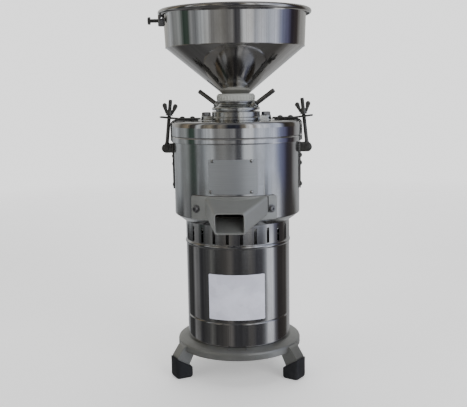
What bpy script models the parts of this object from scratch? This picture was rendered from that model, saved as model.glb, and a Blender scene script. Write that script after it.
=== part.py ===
"""Nut butter grinder: an upright bench grinder on three rubber feet.

A tripod casting carries a slotted steel casing with the motor hanging in it.
The grinding drum sits on top, closed by a cover that two swing bolts hold down.
A fine thread in the cover sets the gap between the grinding discs, and the
hopper stands on the feed sleeve, held by a plastic ring nut.

Metres, +Z up. The floor is at z = 0 under the shaft axis, and the spout
points along -Y.
"""

import math

import bmesh
import bpy
from mathutils import Matrix, Vector

# Clearance between pieces that touch, and how far a cutter runs past a face.
GAP = 0.0003
OVERRUN = 0.002

# Modelling limits: merged points, and the angles that count as an edge.
MERGE_DISTANCE = 0.00001
AXIS_MARK = 0.03
SMOOTH_ANGLE = 35.0
EDGE_ANGLE = 30.0
FLAT_ANGLE = 1.0

# Smoothness: flats around large, middling and small round pieces.
LARGE_ROUND = 32
CASING_ROUND = 48
MEDIUM_ROUND = 24
SMALL_ROUND = 16
TINY_ROUND = 10
SHEET_FLATS = 8
SPOUT_FLATS = 12

# Base casting and its three legs. It is as wide as the drum.
BASE_LIFT = 0.053
RIM_HEIGHT = 0.0165
RIM_ROUND = 0.002
DOME_RISE = 0.0045
BASE_WALL = 0.008
BASE_VENT_RADIUS = 0.056
SPIGOT_HEIGHT = 0.006
SPIGOT_WALL = 0.0045
SEAT_MARGIN = 0.0025
LEG_ANGLES = (-30.0, -150.0, 90.0)
LEG_TOE_THICKNESS = 0.022
LEG_ROUND = 0.0025
LEG_WEB = 0.006

# Rubber feet: boots pushed over the leg ends.
FOOT_OVERHANG = 0.0045
FOOT_LENGTH = 0.036
FOOT_WIDTH = 0.037
FOOT_WALL = 0.0035
FOOT_SOLE = 0.008
FOOT_CORNER = 0.007
FOOT_CORNER_SHARE = 1.4
FOOT_EDGE = 0.004
FOOT_INNER_HEIGHT = 0.021
FOOT_OUTER_HEIGHT = 0.043

# Motor casing: a steel tube with a ring of air slots under the drum.
CASING_SETBACK = 0.021
CASING_WALL = 0.0025
CASING_HEIGHT = 0.2417
SLOT_COUNT = 24
SLOT_WIDTH = 0.006
SLOT_HEIGHT = 0.030
SLOT_DROP = 0.0065
BEAD_DROP = 0.043
BEAD_HEIGHT = 0.007
BEAD_DEPTH = 0.0017
GROOVE_RISE = 0.0475
GROOVE_HEIGHT = 0.0036
GROOVE_DEPTH = 0.001

# Motor, hanging from its upper shield. Shares are of the casing's height.
MOTOR_CLEARANCE = 0.0375
FLANGE_THICKNESS = 0.0125
UPPER_SHIELD_SHARE = 0.2648
LOWER_SHIELD_SHARE = 0.1531
STATOR_SHARE = 0.3724
SHIELD_WALL = 0.005
STATOR_BORE_SHARE = 0.544
WINDING_HEIGHT = 0.022
WINDING_SHARE = 0.75
WINDING_LEAN_SHARE = 0.3
ROTOR_AIR_GAP = 0.001
UPPER_BEARING_RADIUS = 0.026
UPPER_BEARING_WIDTH = 0.015
LOWER_BEARING_RADIUS = 0.0235
LOWER_BEARING_WIDTH = 0.014
BEARING_WALL = 0.005
BEARING_LIP = 0.0045
SHAFT_RADIUS = 0.0125
JOURNAL_RADIUS = 0.010
SHAFT_TAIL = 0.030
FAN_RADIUS = 0.058
FAN_HEIGHT = 0.022
FAN_PLATE = 0.003
FAN_BLADES = 7
FAN_BLADE_THICKNESS = 0.0025
FAN_HUB_RADIUS = 0.016
FAN_BELOW_SHIELD = 0.004
CAPACITOR_SHARE = 0.97
CAPACITOR_HEIGHT = 0.065
CAPACITOR_ANGLE = 35.0

# Grinding drum: polished outer shell with a conical lower edge.
DRUM_RADIUS = 0.1265
DRUM_WALL = 0.002
DRUM_HEIGHT = 0.162
DRUM_CONE_RISE = 0.0138
DRUM_FLOOR_BORE = 0.060

# Cast chamber bowl inside the drum.
BOWL_WALL = 0.005
BOWL_FLOOR = 0.008
BOWL_SEAT = 0.012
BOWL_BOSS_RADIUS = 0.030
BOWL_BOSS_RISE = 0.014
SEAL_RADIUS = 0.020
SEAL_HEIGHT = 0.010

# Grinding discs, impeller and shaft nut.
DISC_RADIUS = 0.075
DISC_THICKNESS = 0.019
DISC_GAP = 0.0005
DISC_GROOVES = 12
DISC_GROOVE_WIDTH = 0.004
DISC_GROOVE_DEPTH = 0.0025
DISC_GROOVE_LEAN = 18.0
IMPELLER_HUB_RADIUS = 0.020
IMPELLER_SHOULDER_SHARE = 1.5
IMPELLER_BLADES = 3
IMPELLER_WALL_CLEARANCE = 0.0092
IMPELLER_THICKNESS = 0.006
IMPELLER_FLOOR_CLEARANCE = 0.004
IMPELLER_BLADE_HEIGHT = 0.026
ROTOR_DISC_DROP = 0.0375
SHAFT_NUT_FLATS = 0.024
SHAFT_NUT_HEIGHT = 0.010
SHAFT_NUT_STANDOUT = 0.002

# Discharge spout: flange plate on the drum and a tapering mouth.
CHUTE_PLATE_ANGLE = 77.6
CHUTE_PLATE_HEIGHT = 0.0465
CHUTE_PLATE_THICKNESS = 0.0035
CHUTE_GASKET = 0.001
CHUTE_WALL = 0.003
CHUTE_ROOT_WIDTH = 0.096
CHUTE_ROOT_TOP_DROP = 0.006
CHUTE_MOUTH_WIDTH = 0.057
CHUTE_MOUTH_HEIGHT = 0.0405
CHUTE_MOUTH_DROP = 0.0195
CHUTE_STANDOUT = 0.0415
CHUTE_ROOT_SHARE = 0.93
CHUTE_PASSAGE_SHARE = 0.12
BOWL_PASSAGE_SHARE = 0.5
CHUTE_MOUTH_OFFSET = -0.0045
CHUTE_MOUTH_CORNER = 0.005
CHUTE_SCREW_ANGLE = 33.0
CHUTE_SCREW_DROP = 0.0255
CHUTE_SCREW_RADIUS = 0.003
CHUTE_SCREW_HEAD = 0.0065
CHUTE_SCREW_HEAD_HEIGHT = 0.0045
CHUTE_SCREW_TOP_SHARE = 0.7
CHUTE_WASHER_RADIUS = 0.008
CHUTE_WASHER_THICKNESS = 0.0012

# Plates on the outside.
NAMEPLATE_ANGLE = 43.0
NAMEPLATE_HEIGHT = 0.0655
NAMEPLATE_THICKNESS = 0.0008
NAMEPLATE_ABOVE_CHUTE = 0.0035
LABEL_ANGLE = 62.0
LABEL_TURN = 1.5
LABEL_HEIGHT_SHARE = 0.3744
LABEL_RISE_SHARE = 0.2276
LABEL_THICKNESS = 0.0005

# Cover, its gasket and the threaded hub.
COVER_MARGIN = 0.004
COVER_HEIGHT = 0.0415
COVER_WALL = 0.002
COVER_TOP = 0.003
COVER_SHOULDER = 0.008
COVER_OVERLAP = 0.005
COVER_GROOVE_RISE = 0.011
COVER_GROOVE_WIDTH = 0.0022
COVER_GROOVE_DEPTH = 0.0008
COVER_LEDGE = 0.002
COVER_LEDGE_REACH = 0.018
COVER_BORE = 0.0465
GASKET_THICKNESS = 0.003
GASKET_WIDTH = 0.010
HUB_RADIUS = 0.0485
HUB_NECK_RADIUS = 0.046
HUB_HEIGHT = 0.0175
HUB_DEPTH = 0.014
HUB_BEAD = 0.0018
HUB_THREAD_RADIUS = 0.0406
HUB_EAR_REACH = 0.060
HUB_EAR_RADIUS = 0.0105
HUB_EAR_THICKNESS = 0.008
HUB_EAR_ROOT_SHARE = 1.6
HUB_EAR_SWEEP = 80.0
HUB_SCREW_RADIUS = 0.005
HUB_SCREW_FLATS = 0.016
HUB_SCREW_HEAD = 0.0075

# Adjusting collar with its two rods, and the feed sleeve that it carries.
COLLAR_RADIUS = 0.048
COLLAR_TOP_RADIUS = 0.0345
COLLAR_HEIGHT = 0.0155
COLLAR_SKIRT = 0.005
COLLAR_DEPTH = 0.031
COLLAR_STANDOFF = 0.002
COLLAR_THREAD_RADIUS = 0.040
ROD_RADIUS = 0.0045
ROD_ANGLE = -22.0
ROD_SLOPE = 34.0
ROD_TIP_RADIUS = 0.083
ROD_ROOT_RADIUS = 0.0362
ROD_TIP_HEIGHT = 0.0385
ROD_END_SHARE = 0.8
ROD_EDGE_SHARE = 0.3
SLEEVE_RADIUS = 0.030
SLEEVE_WALL = 0.004
SLEEVE_SHOULDER_RADIUS = 0.036
SLEEVE_SHOULDER = 0.0016
SLEEVE_THREAD_LENGTH = 0.010
SLEEVE_FLANGE_RADIUS = 0.060
SLEEVE_FLANGE = 0.006

# Hopper, its plastic ring nut, and the clamp bracket near its rim.
HOPPER_WALL = 0.0012
HOPPER_RIM_RADIUS = 0.1491
HOPPER_LIP = 0.0087
HOPPER_LIP_SHARES = ((0.0, 0.28), (0.15, 0.07), (0.4, 0.0), (0.7, 0.12), (0.92, 0.45))
HOPPER_BELT_TAPER = 0.0024
HOPPER_OUTLET_RADIUS = 0.028
HOPPER_NECK_CLEARANCE = 0.0004
HOPPER_NECK_LENGTH = 0.036
HOPPER_FLANGE_RADIUS = 0.029
HOPPER_FLANGE = 0.0016
HOPPER_CONE_HEIGHT = 0.0905
HOPPER_BELT_HEIGHT = 0.071
HOPPER_LIP_RISE = 0.0105
RING_NUT_RADIUS = 0.0386
RING_NUT_HEIGHT = 0.015
RING_NUT_LIP = 0.0028
RING_NUT_CHAMFER = 0.003
RING_NUT_TOP_SHARE = 0.7
RING_NUT_RIBS = 24
BRACKET_ANGLE = 184.0
BRACKET_WIDTH = 0.022
BRACKET_HEIGHT = 0.0212
BRACKET_STANDOUT = 0.0105
BRACKET_SHEET = 0.0025
BRACKET_DROP = 0.0068
BRACKET_HOLE_RADIUS = 0.0022
BRACKET_BOLT_RADIUS = 0.0037
BRACKET_BOLT_DROP = 0.0108
BRACKET_BOLT_SHOWN = 0.0155
BRACKET_BOLT_FLATS = 0.013
BRACKET_BOLT_HEAD = 0.0055
BRACKET_BOLT_INSIDE = 0.005

# Clamps: strap on the cover, hinge bracket on the drum, swing bolt, wing nut.
STRAP_WIDTH = 0.030
STRAP_THICKNESS = 0.003
STRAP_INNER_RADIUS = 0.073
STRAP_BEND_INSET = 0.015
STRAP_BEYOND_PIVOT = 0.0111
STRAP_SLOPE = 6.5
STRAP_SLOT_WIDTH = 0.0098
STRAP_SLOT_INSIDE_PIVOT = 0.0124
STRAP_TAIL_WIDTH = 0.016
STRAP_TAIL_THICKNESS = 0.0018
STRAP_RIVET_SHARES = (0.365, 0.847)
STRAP_WELD_SHARE = 1.05
STRAP_RIVET_RADIUS = 0.0055
STRAP_RIVET_HEIGHT = 0.0035
PIVOT_STANDOUT = 0.016
PIVOT_DROP = 0.0137
BOLT_LEAN = 6.1
BOLT_RADIUS = 0.0036
BOLT_THREAD_RADIUS = 0.0039
BOLT_LENGTH = 0.098
BOLT_SHANK_LENGTH = 0.048
BOLT_EYE_RADIUS = 0.009
BOLT_EYE_THICKNESS = 0.009
NUT_SEAT_HEIGHT = 0.0659
WASHER_RADIUS = 0.0075
WASHER_THICKNESS = 0.0016
NUT_BOSS_RADIUS = 0.0066
NUT_BOSS_TOP_RADIUS = 0.0056
NUT_BOSS_HEIGHT = 0.0095
NUT_BOSS_SHARE = 0.3
WING_THICKNESS = 0.0038
WING_LOBE_RADIUS = 0.0048
WING_LOBE_REACH = 0.0108
WING_LOBE_HEIGHT = 0.0178
WING_LOBE_START = -25.0
WING_LOBE_END = 195.0
HINGE_PLATE_WIDTH = 0.026
HINGE_PLATE_THICKNESS = 0.0025
HINGE_PLATE_HEIGHT = 0.093
HINGE_PLATE_ABOVE_PIVOT = 0.0106
HINGE_EAR_RADIUS = 0.0094
HINGE_EAR_THICKNESS = 0.003
HINGE_SIDE_CLEARANCE = 0.0004
HINGE_RIVET_DROPS = (0.0165, 0.032, 0.0745)
HINGE_RIVET_RADIUS = 0.0045
HINGE_RIVET_HEIGHT = 0.003
HINGE_PIN_RADIUS = 0.003
HINGE_PIN_HEAD_RADIUS = 0.0048
HINGE_PIN_HEAD = 0.002
RIVET_CROWN_SHARES = (0.55, 0.82)

# Rocker switch and cable gland on the back of the casing.
SWITCH_RISE_SHARE = 0.6
SWITCH_WIDTH = 0.022
SWITCH_HEIGHT = 0.030
SWITCH_DEPTH = 0.021
SWITCH_BEZEL = 0.003
SWITCH_BEZEL_MARGIN = 0.0025
SWITCH_WALL = 0.002
ROCKER_CLEARANCE = 0.0008
ROCKER_DEPTH = 0.007
ROCKER_TILT = 8.0
GLAND_RISE = 0.030
GLAND_FLATS = 0.019
GLAND_HEAD = 0.007
GLAND_THREAD_RADIUS = 0.0075
GLAND_TAIL = 0.010
GLAND_DOME_RADIUS = 0.0078
GLAND_DOME = 0.008
GLAND_TIP_SHARE = 0.7
GLAND_BORE = 0.0035

# Levels along the shaft axis, stacked from the floor up.
RIM_TOP = BASE_LIFT + RIM_HEIGHT
BASE_TOP = RIM_TOP + DOME_RISE
CASING_BOTTOM = BASE_TOP + GAP
CASING_TOP = CASING_BOTTOM + CASING_HEIGHT
DRUM_BOTTOM = CASING_TOP + GAP
DRUM_CORNER = DRUM_BOTTOM + DRUM_CONE_RISE
DRUM_TOP = DRUM_BOTTOM + DRUM_HEIGHT
BOWL_BOTTOM = DRUM_BOTTOM + DRUM_WALL + GAP
BOWL_FLOOR_TOP = BOWL_BOTTOM + BOWL_SEAT + BOWL_FLOOR
BOWL_BOSS_TOP = BOWL_FLOOR_TOP + BOWL_BOSS_RISE
BOWL_TOP = DRUM_TOP + GAP
GASKET_BOTTOM = BOWL_TOP + GAP
COVER_BOTTOM = DRUM_TOP - COVER_OVERLAP
COVER_TOP_LEVEL = COVER_BOTTOM + COVER_HEIGHT
COVER_LEDGE_BOTTOM = GASKET_BOTTOM + GASKET_THICKNESS + GAP
HUB_SEAT = COVER_TOP_LEVEL + GAP
HUB_TOP = HUB_SEAT + HUB_HEIGHT
COLLAR_BOTTOM = HUB_TOP + COLLAR_STANDOFF
COLLAR_TOP = COLLAR_BOTTOM + COLLAR_HEIGHT
SHOULDER_BOTTOM = COLLAR_TOP + GAP
SHOULDER_TOP = SHOULDER_BOTTOM + SLEEVE_SHOULDER
SLEEVE_TOP = SHOULDER_TOP + SLEEVE_THREAD_LENGTH
ROTOR_DISC_TOP = DRUM_TOP - ROTOR_DISC_DROP
ROTOR_DISC_BOTTOM = ROTOR_DISC_TOP - DISC_THICKNESS
FIXED_DISC_BOTTOM = ROTOR_DISC_TOP + DISC_GAP
FIXED_DISC_TOP = FIXED_DISC_BOTTOM + DISC_THICKNESS
SLEEVE_BOTTOM = FIXED_DISC_TOP + GAP
RING_NUT_BOTTOM = SHOULDER_TOP + GAP
RING_NUT_TOP = RING_NUT_BOTTOM + RING_NUT_HEIGHT
HOPPER_OUTLET = RING_NUT_TOP + 2 * GAP
HOPPER_BELT_BOTTOM = HOPPER_OUTLET + HOPPER_CONE_HEIGHT
HOPPER_LIP_BOTTOM = HOPPER_BELT_BOTTOM + HOPPER_BELT_HEIGHT - HOPPER_LIP_RISE
HOPPER_TOP = HOPPER_BELT_BOTTOM + HOPPER_BELT_HEIGHT
UPPER_SHIELD_TOP = DRUM_BOTTOM - GAP
FLANGE_BOTTOM = UPPER_SHIELD_TOP - FLANGE_THICKNESS
STATOR_TOP = FLANGE_BOTTOM - CASING_HEIGHT * UPPER_SHIELD_SHARE - GAP
STATOR_BOTTOM = STATOR_TOP - CASING_HEIGHT * STATOR_SHARE
LOWER_SHIELD_TOP = STATOR_BOTTOM - GAP
LOWER_SHIELD_BOTTOM = LOWER_SHIELD_TOP - CASING_HEIGHT * LOWER_SHIELD_SHARE
FAN_TOP = LOWER_SHIELD_BOTTOM - FAN_BELOW_SHIELD
FAN_BOTTOM = FAN_TOP - FAN_HEIGHT
SHAFT_BOTTOM = LOWER_SHIELD_BOTTOM - SHAFT_TAIL
SHAFT_TOP = ROTOR_DISC_TOP + SHAFT_NUT_HEIGHT + SHAFT_NUT_STANDOUT

# Radii worked out from the drum, which sets the girth, and from the walls.
BASE_RADIUS = DRUM_RADIUS
FOOT_REACH = BASE_RADIUS + FOOT_OVERHANG
CASING_RADIUS = DRUM_RADIUS - CASING_SETBACK
CASING_INNER = CASING_RADIUS - CASING_WALL
MOTOR_RADIUS = CASING_RADIUS - MOTOR_CLEARANCE
STATOR_BORE = MOTOR_RADIUS * STATOR_BORE_SHARE
CAPACITOR_ROOM = CASING_INNER - SPIGOT_WALL - 4 * GAP - MOTOR_RADIUS
CAPACITOR_RADIUS = CAPACITOR_ROOM / 2 * CAPACITOR_SHARE
DRUM_CONE_RADIUS = CASING_RADIUS + SEAT_MARGIN
COVER_RADIUS = DRUM_RADIUS + COVER_MARGIN
DRUM_INNER = DRUM_RADIUS - DRUM_WALL
BOWL_RADIUS = DRUM_INNER - GAP
BOWL_INNER = BOWL_RADIUS - BOWL_WALL
IMPELLER_REACH = BOWL_INNER - IMPELLER_WALL_CLEARANCE
SLEEVE_BORE = SLEEVE_RADIUS - SLEEVE_WALL
NECK_RADIUS = SLEEVE_BORE - HOPPER_NECK_CLEARANCE
GASKET_INNER = DRUM_RADIUS + GAP
CHUTE_PLATE_INNER = GASKET_INNER + CHUTE_GASKET + GAP
CHUTE_PLATE_OUTER = CHUTE_PLATE_INNER + CHUTE_PLATE_THICKNESS
CHUTE_TOP = DRUM_CORNER + CHUTE_PLATE_HEIGHT
CHUTE_ROOT_REACH = DRUM_RADIUS * CHUTE_ROOT_SHARE
CHUTE_MOUTH_REACH = DRUM_RADIUS + CHUTE_STANDOUT
PIVOT_RADIUS = DRUM_RADIUS + PIVOT_STANDOUT
PIVOT_HEIGHT = COVER_BOTTOM - PIVOT_DROP
STRAP_BEND_RADIUS = COVER_RADIUS - STRAP_BEND_INSET
STRAP_REACH = PIVOT_RADIUS + STRAP_BEYOND_PIVOT
STRAP_SLOT_ROOT = PIVOT_RADIUS - STRAP_SLOT_INSIDE_PIVOT
HOPPER_TOP_RADIUS = HOPPER_RIM_RADIUS - HOPPER_LIP
HOPPER_BELT_RADIUS = HOPPER_TOP_RADIUS - HOPPER_BELT_TAPER


def finish(name, colour, roughness, metallic=0.0):
    """Return a plain Principled material for one piece."""
    material = bpy.data.materials.new(name)
    material.use_nodes = True
    shader = material.node_tree.nodes["Principled BSDF"]
    shader.inputs["Base Color"].default_value = (*colour, 1.0)
    shader.inputs["Roughness"].default_value = roughness
    shader.inputs["Metallic"].default_value = metallic
    return material


POLISHED_STEEL = ((0.62, 0.62, 0.63), 0.12, 1.0)
PLAIN_STEEL = ((0.42, 0.42, 0.43), 0.38, 1.0)
DARK_STEEL = ((0.16, 0.16, 0.16), 0.45, 0.9)
CAST_ALUMINIUM = ((0.42, 0.43, 0.43), 0.5, 0.8)
BRIGHT_ALUMINIUM = ((0.68, 0.69, 0.68), 0.3, 1.0)
BLACK_RUBBER = ((0.02, 0.02, 0.022), 0.75, 0.0)
WHITE_PLASTIC = ((0.66, 0.67, 0.65), 0.45, 0.0)
BLACK_PLASTIC = ((0.03, 0.03, 0.03), 0.5, 0.0)
LABEL_WHITE = ((0.8, 0.82, 0.84), 0.4, 0.0)
COPPER = ((0.6, 0.28, 0.13), 0.4, 0.8)
SEAL_RUBBER = ((0.09, 0.05, 0.03), 0.6, 0.0)
GRINDING_STONE = ((0.34, 0.33, 0.31), 0.85, 0.0)


def rotated(angle, axis="Z"):
    """Rotation matrix for an angle in degrees."""
    return Matrix.Rotation(math.radians(angle), 4, axis)


def moved(x=0.0, y=0.0, z=0.0):
    """Translation matrix."""
    return Matrix.Translation((x, y, z))


def place(obj, name, look):
    """Name a piece, give it its own material and put it with the parts."""
    obj.name = name
    obj.data.name = name
    obj.data.materials.clear()
    obj.data.materials.append(finish(name, *look))
    obj.data.shade_smooth()
    obj.data.set_sharp_from_angle(angle=math.radians(SMOOTH_ANGLE))
    parts.objects.link(obj)
    return obj


def hide_tool(obj, name):
    """Keep a cutter or a joined shape apart from the parts."""
    obj.name = name
    obj.display_type = "WIRE"
    obj.hide_render = True
    cutters.objects.link(obj)
    return obj


def combine(obj, tool, operation):
    """Add one Boolean to a piece. The tool is already in its place."""
    if not tool.users_collection:
        hide_tool(tool, obj.name + "_tool")
    modifier = obj.modifiers.new(operation.title(), "BOOLEAN")
    modifier.operation = operation
    modifier.solver = "EXACT"
    modifier.object = tool
    return obj


def cut(obj, *tools):
    """Take each tool's shape out of a piece."""
    for tool in tools:
        combine(obj, tool, "DIFFERENCE")
    return obj


def fuse(obj, *tools):
    """Join each tool's shape to a piece."""
    for tool in tools:
        combine(obj, tool, "UNION")
    return obj


def mesh_object(build):
    """Make an object from a function that fills a bmesh."""
    shape = bmesh.new()
    build(shape)
    bmesh.ops.recalc_face_normals(shape, faces=shape.faces)
    mesh = bpy.data.meshes.new("shape")
    shape.to_mesh(mesh)
    shape.free()
    return bpy.data.objects.new("shape", mesh)


def box(size, matrix):
    """Box of the given size, centred on the matrix."""
    def build(shape):
        scale = Matrix.Diagonal((*size, 1.0))
        bmesh.ops.create_cube(shape, size=1.0, matrix=matrix @ scale)
    return mesh_object(build)


def cylinder(radius, height, matrix, steps=SMALL_ROUND, top_radius=None):
    """Cylinder or cone standing on the matrix origin along its Z."""
    def build(shape):
        top = radius if top_radius is None else top_radius
        bmesh.ops.create_cone(
            shape, cap_ends=True, segments=steps, radius1=radius, radius2=top,
            depth=height, matrix=matrix @ moved(z=height / 2))
    return mesh_object(build)


def hexagon(flats, height, matrix):
    """Hexagonal prism standing on the matrix origin."""
    return cylinder(flats / math.sqrt(3), height, matrix, steps=6)


def many(shapes):
    """One tool object made of several separate closed shapes."""
    def build(shape):
        for piece in shapes:
            shape.from_mesh(piece.data)
            bpy.data.objects.remove(piece)
    return mesh_object(build)


def clockwise(outline):
    """Return an outline of (radius, height) that runs down its outer side."""
    area = 0.0
    for (x0, y0), (x1, y1) in zip(outline, outline[1:] + outline[:1]):
        area += x0 * y1 - x1 * y0
    return outline if area < 0 else outline[::-1]


def turned(outline, steps, sweep=360.0, start=0.0):
    """Closed outline of (radius, height) turned about Z by a Screw modifier."""
    outline = clockwise(list(outline))
    solid_core = outline_touches_axis(outline)
    if solid_core:
        outline = open_at_axis(outline)
    mesh = bpy.data.meshes.new("shape")
    points = [rotated(start) @ Vector((radius, 0.0, height)) for radius, height in outline]
    count = len(points)
    last = count - 1 if solid_core else count
    mesh.from_pydata(points, [(i, (i + 1) % count) for i in range(last)], [])
    obj = bpy.data.objects.new("shape", mesh)
    screw = obj.modifiers.new("Turned", "SCREW")
    screw.axis = "Z"
    screw.angle = math.radians(sweep)
    screw.steps = steps
    screw.render_steps = steps
    screw.use_merge_vertices = True
    screw.merge_threshold = MERGE_DISTANCE
    screw.use_smooth_shade = True
    return obj


def outline_touches_axis(outline):
    """True when part of an outline lies on the turning axis."""
    return any(radius == 0.0 for radius, height in outline)


def open_at_axis(outline):
    """Rotate an outline's order so that it starts and ends on the axis."""
    count = len(outline)
    for i in range(count):
        if outline[i][0] == 0.0 and outline[i - 1][0] == 0.0:
            return outline[i:] + outline[:i]
    return outline


def thick_line(line, thickness):
    """Close a line of points into a sheet outline, thickened to its right."""
    def right_of(a, b):
        along = (Vector(b) - Vector(a)).normalized()
        return Vector((along.y, -along.x))
    inner = []
    for i, point in enumerate(line):
        before = right_of(line[max(i - 1, 0)], line[max(i, 1)])
        after = right_of(line[min(i, len(line) - 2)], line[min(i + 1, len(line) - 1)])
        side = (before + after) / (1.0 + before.dot(after))
        inner.append(tuple(Vector(point) + side * thickness))
    return list(line) + inner[::-1]


def arc(centre, radius, first, last, steps):
    """Points of an arc, angles in degrees, both ends included."""
    points = []
    for i in range(steps + 1):
        angle = math.radians(first + (last - first) * i / steps)
        points.append((centre[0] + radius * math.cos(angle),
                       centre[1] + radius * math.sin(angle)))
    return points


def flat_plate(outline, thickness, matrix, edge=0.0):
    """Flat outline in the matrix XY plane, thickness centred on it."""
    curve = bpy.data.curves.new("shape", "CURVE")
    curve.dimensions = "2D"
    curve.fill_mode = "BOTH"
    curve.extrude = thickness / 2
    curve.resolution_u = 1
    curve.render_resolution_u = 0
    spline = curve.splines.new("POLY")
    spline.points.add(len(outline) - 1)
    for point, (x, y) in zip(spline.points, outline):
        point.co = (x, y, 0.0, 1.0)
    spline.use_cyclic_u = True
    drawn = bpy.data.objects.new("shape", curve)
    bpy.context.scene.collection.objects.link(drawn)
    bpy.context.view_layer.update()
    ready = drawn.evaluated_get(bpy.context.evaluated_depsgraph_get())
    mesh = bpy.data.meshes.new_from_object(ready)
    bpy.data.objects.remove(drawn)

    def build(shape):
        shape.from_mesh(mesh)
        bmesh.ops.remove_doubles(shape, verts=shape.verts, dist=MERGE_DISTANCE)
        bmesh.ops.dissolve_limit(
            shape, angle_limit=math.radians(FLAT_ANGLE), verts=shape.verts, edges=shape.edges)
        if edge:
            sharp = [e for e in shape.edges if e.calc_face_angle(0.0) > math.radians(EDGE_ANGLE)]
            bmesh.ops.bevel(
                shape, geom=sharp, offset=edge, segments=2, profile=0.5, affect="EDGES")
        bmesh.ops.transform(shape, matrix=matrix, verts=shape.verts)
    return mesh_object(build)


def capped_loft(rings):
    """Skin through rings of equal point count, closed flat at both ends."""
    def build(shape):
        rows = [[shape.verts.new(point) for point in ring] for ring in rings]
        for row, following in zip(rows, rows[1:]):
            for i in range(len(row)):
                j = (i + 1) % len(row)
                shape.faces.new((row[i], row[j], following[j], following[i]))
        shape.faces.new(rows[0])
        shape.faces.new(rows[-1])
    return mesh_object(build)


def rounded_rectangle(width, height, corner, steps=3):
    """Outline of a rectangle with rounded corners, centred on zero."""
    points = []
    for quarter, (x, y) in enumerate(((1, 1), (-1, 1), (-1, -1), (1, -1))):
        centre = (x * (width / 2 - corner), y * (height / 2 - corner))
        points += arc(centre, corner, 90.0 * quarter, 90.0 * quarter + 90.0, steps)
    return points


def curved_sheet(radius, thickness, bottom, height, sweep, turn=0.0, steps=SHEET_FLATS):
    """Part of a thin cylinder wall, centred on the front of the grinder."""
    top = bottom + height
    line = [(radius, top), (radius, bottom)]
    obj = turned_strip(line, steps, sweep, -90.0 + turn - sweep / 2)
    shell = obj.modifiers.new("Sheet", "SOLIDIFY")
    shell.thickness = thickness
    shell.offset = 1.0
    return obj


def turned_strip(line, steps, sweep, start):
    """Open line of (radius, height) turned about Z through part of a turn."""
    mesh = bpy.data.meshes.new("shape")
    points = [rotated(start) @ Vector((radius, 0.0, height)) for radius, height in line]
    mesh.from_pydata(points, [(i, i + 1) for i in range(len(points) - 1)], [])
    obj = bpy.data.objects.new("shape", mesh)
    screw = obj.modifiers.new("Turned", "SCREW")
    screw.axis = "Z"
    screw.angle = math.radians(sweep)
    screw.steps = steps
    screw.render_steps = steps
    screw.use_merge_vertices = False
    screw.use_smooth_shade = True
    return obj


def axis_empty(name, matrix, parent=None):
    """Empty on a joint axis, which carries the moving pieces."""
    empty = bpy.data.objects.new(name, None)
    empty.empty_display_size = AXIS_MARK
    empty.parent = parent
    empty.matrix_local = matrix
    parts.objects.link(empty)
    return empty


def carried(empty, *pieces):
    """Hang pieces on an empty, each modelled in the empty's own frame."""
    for piece in pieces:
        piece.parent = empty


def dome(radius, height, sink, matrix, steps=TINY_ROUND):
    """Low rivet head whose foot is sunk below the face it stands on."""
    out_share, up_share = RIVET_CROWN_SHARES
    outline = [(0.0, height), (radius * out_share, height * up_share), (radius, 0.0),
               (radius, -sink), (0.0, -sink)]
    obj = turned(outline, steps)
    obj.matrix_world = matrix
    return obj


def make_base_casting():
    """Domed ring casting with a locating spigot and three legs."""
    seat_radius = CASING_RADIUS + SEAT_MARGIN
    spigot_radius = CASING_INNER - GAP
    underside = BASE_TOP - BASE_WALL
    skirt = BASE_RADIUS - BASE_WALL
    outline = [
        (BASE_VENT_RADIUS, BASE_TOP),
        (spigot_radius - SPIGOT_WALL, BASE_TOP),
        (spigot_radius - SPIGOT_WALL, BASE_TOP + SPIGOT_HEIGHT),
        (spigot_radius, BASE_TOP + SPIGOT_HEIGHT),
        (spigot_radius, BASE_TOP),
        (seat_radius, BASE_TOP),
        ((seat_radius + BASE_RADIUS) / 2, RIM_TOP + DOME_RISE / 2),
        (BASE_RADIUS - RIM_ROUND, RIM_TOP),
        (BASE_RADIUS, RIM_TOP - RIM_ROUND),
        (BASE_RADIUS, BASE_LIFT + RIM_ROUND),
        (BASE_RADIUS - RIM_ROUND, BASE_LIFT),
        (skirt, BASE_LIFT),
        (skirt, underside - DOME_RISE),
        (seat_radius, underside),
        (BASE_VENT_RADIUS, underside),
    ]
    base = turned(outline, LARGE_ROUND)
    toe_outer = FOOT_REACH + FOOT_LENGTH / 2 - FOOT_WALL - GAP
    toe_inner = toe_outer - LEG_TOE_THICKNESS
    toe_bottom = FOOT_SOLE + GAP
    leg_width = FOOT_WIDTH - 2 * (FOOT_WALL + GAP)
    knee_outer = BASE_RADIUS + DOME_RISE
    profile = [
        (skirt - BASE_WALL, underside + RIM_ROUND),
        (BASE_RADIUS - BASE_WALL / 2, RIM_TOP - RIM_ROUND),
        (knee_outer, RIM_TOP - RIM_HEIGHT / 4),
        (toe_outer, FOOT_OUTER_HEIGHT),
        (toe_outer, toe_bottom),
        (toe_inner, toe_bottom),
        (toe_inner - LEG_WEB / 2, FOOT_INNER_HEIGHT + LEG_WEB),
        (skirt - BASE_WALL, BASE_LIFT - LEG_WEB),
        (skirt - 2 * BASE_WALL, underside - LEG_WEB / 2),
    ]
    for angle in LEG_ANGLES:
        upright = rotated(angle) @ rotated(90.0, "X")
        fuse(base, flat_plate(profile, leg_width, upright, edge=LEG_ROUND))
    return place(base, "base_casting", CAST_ALUMINIUM)


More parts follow.
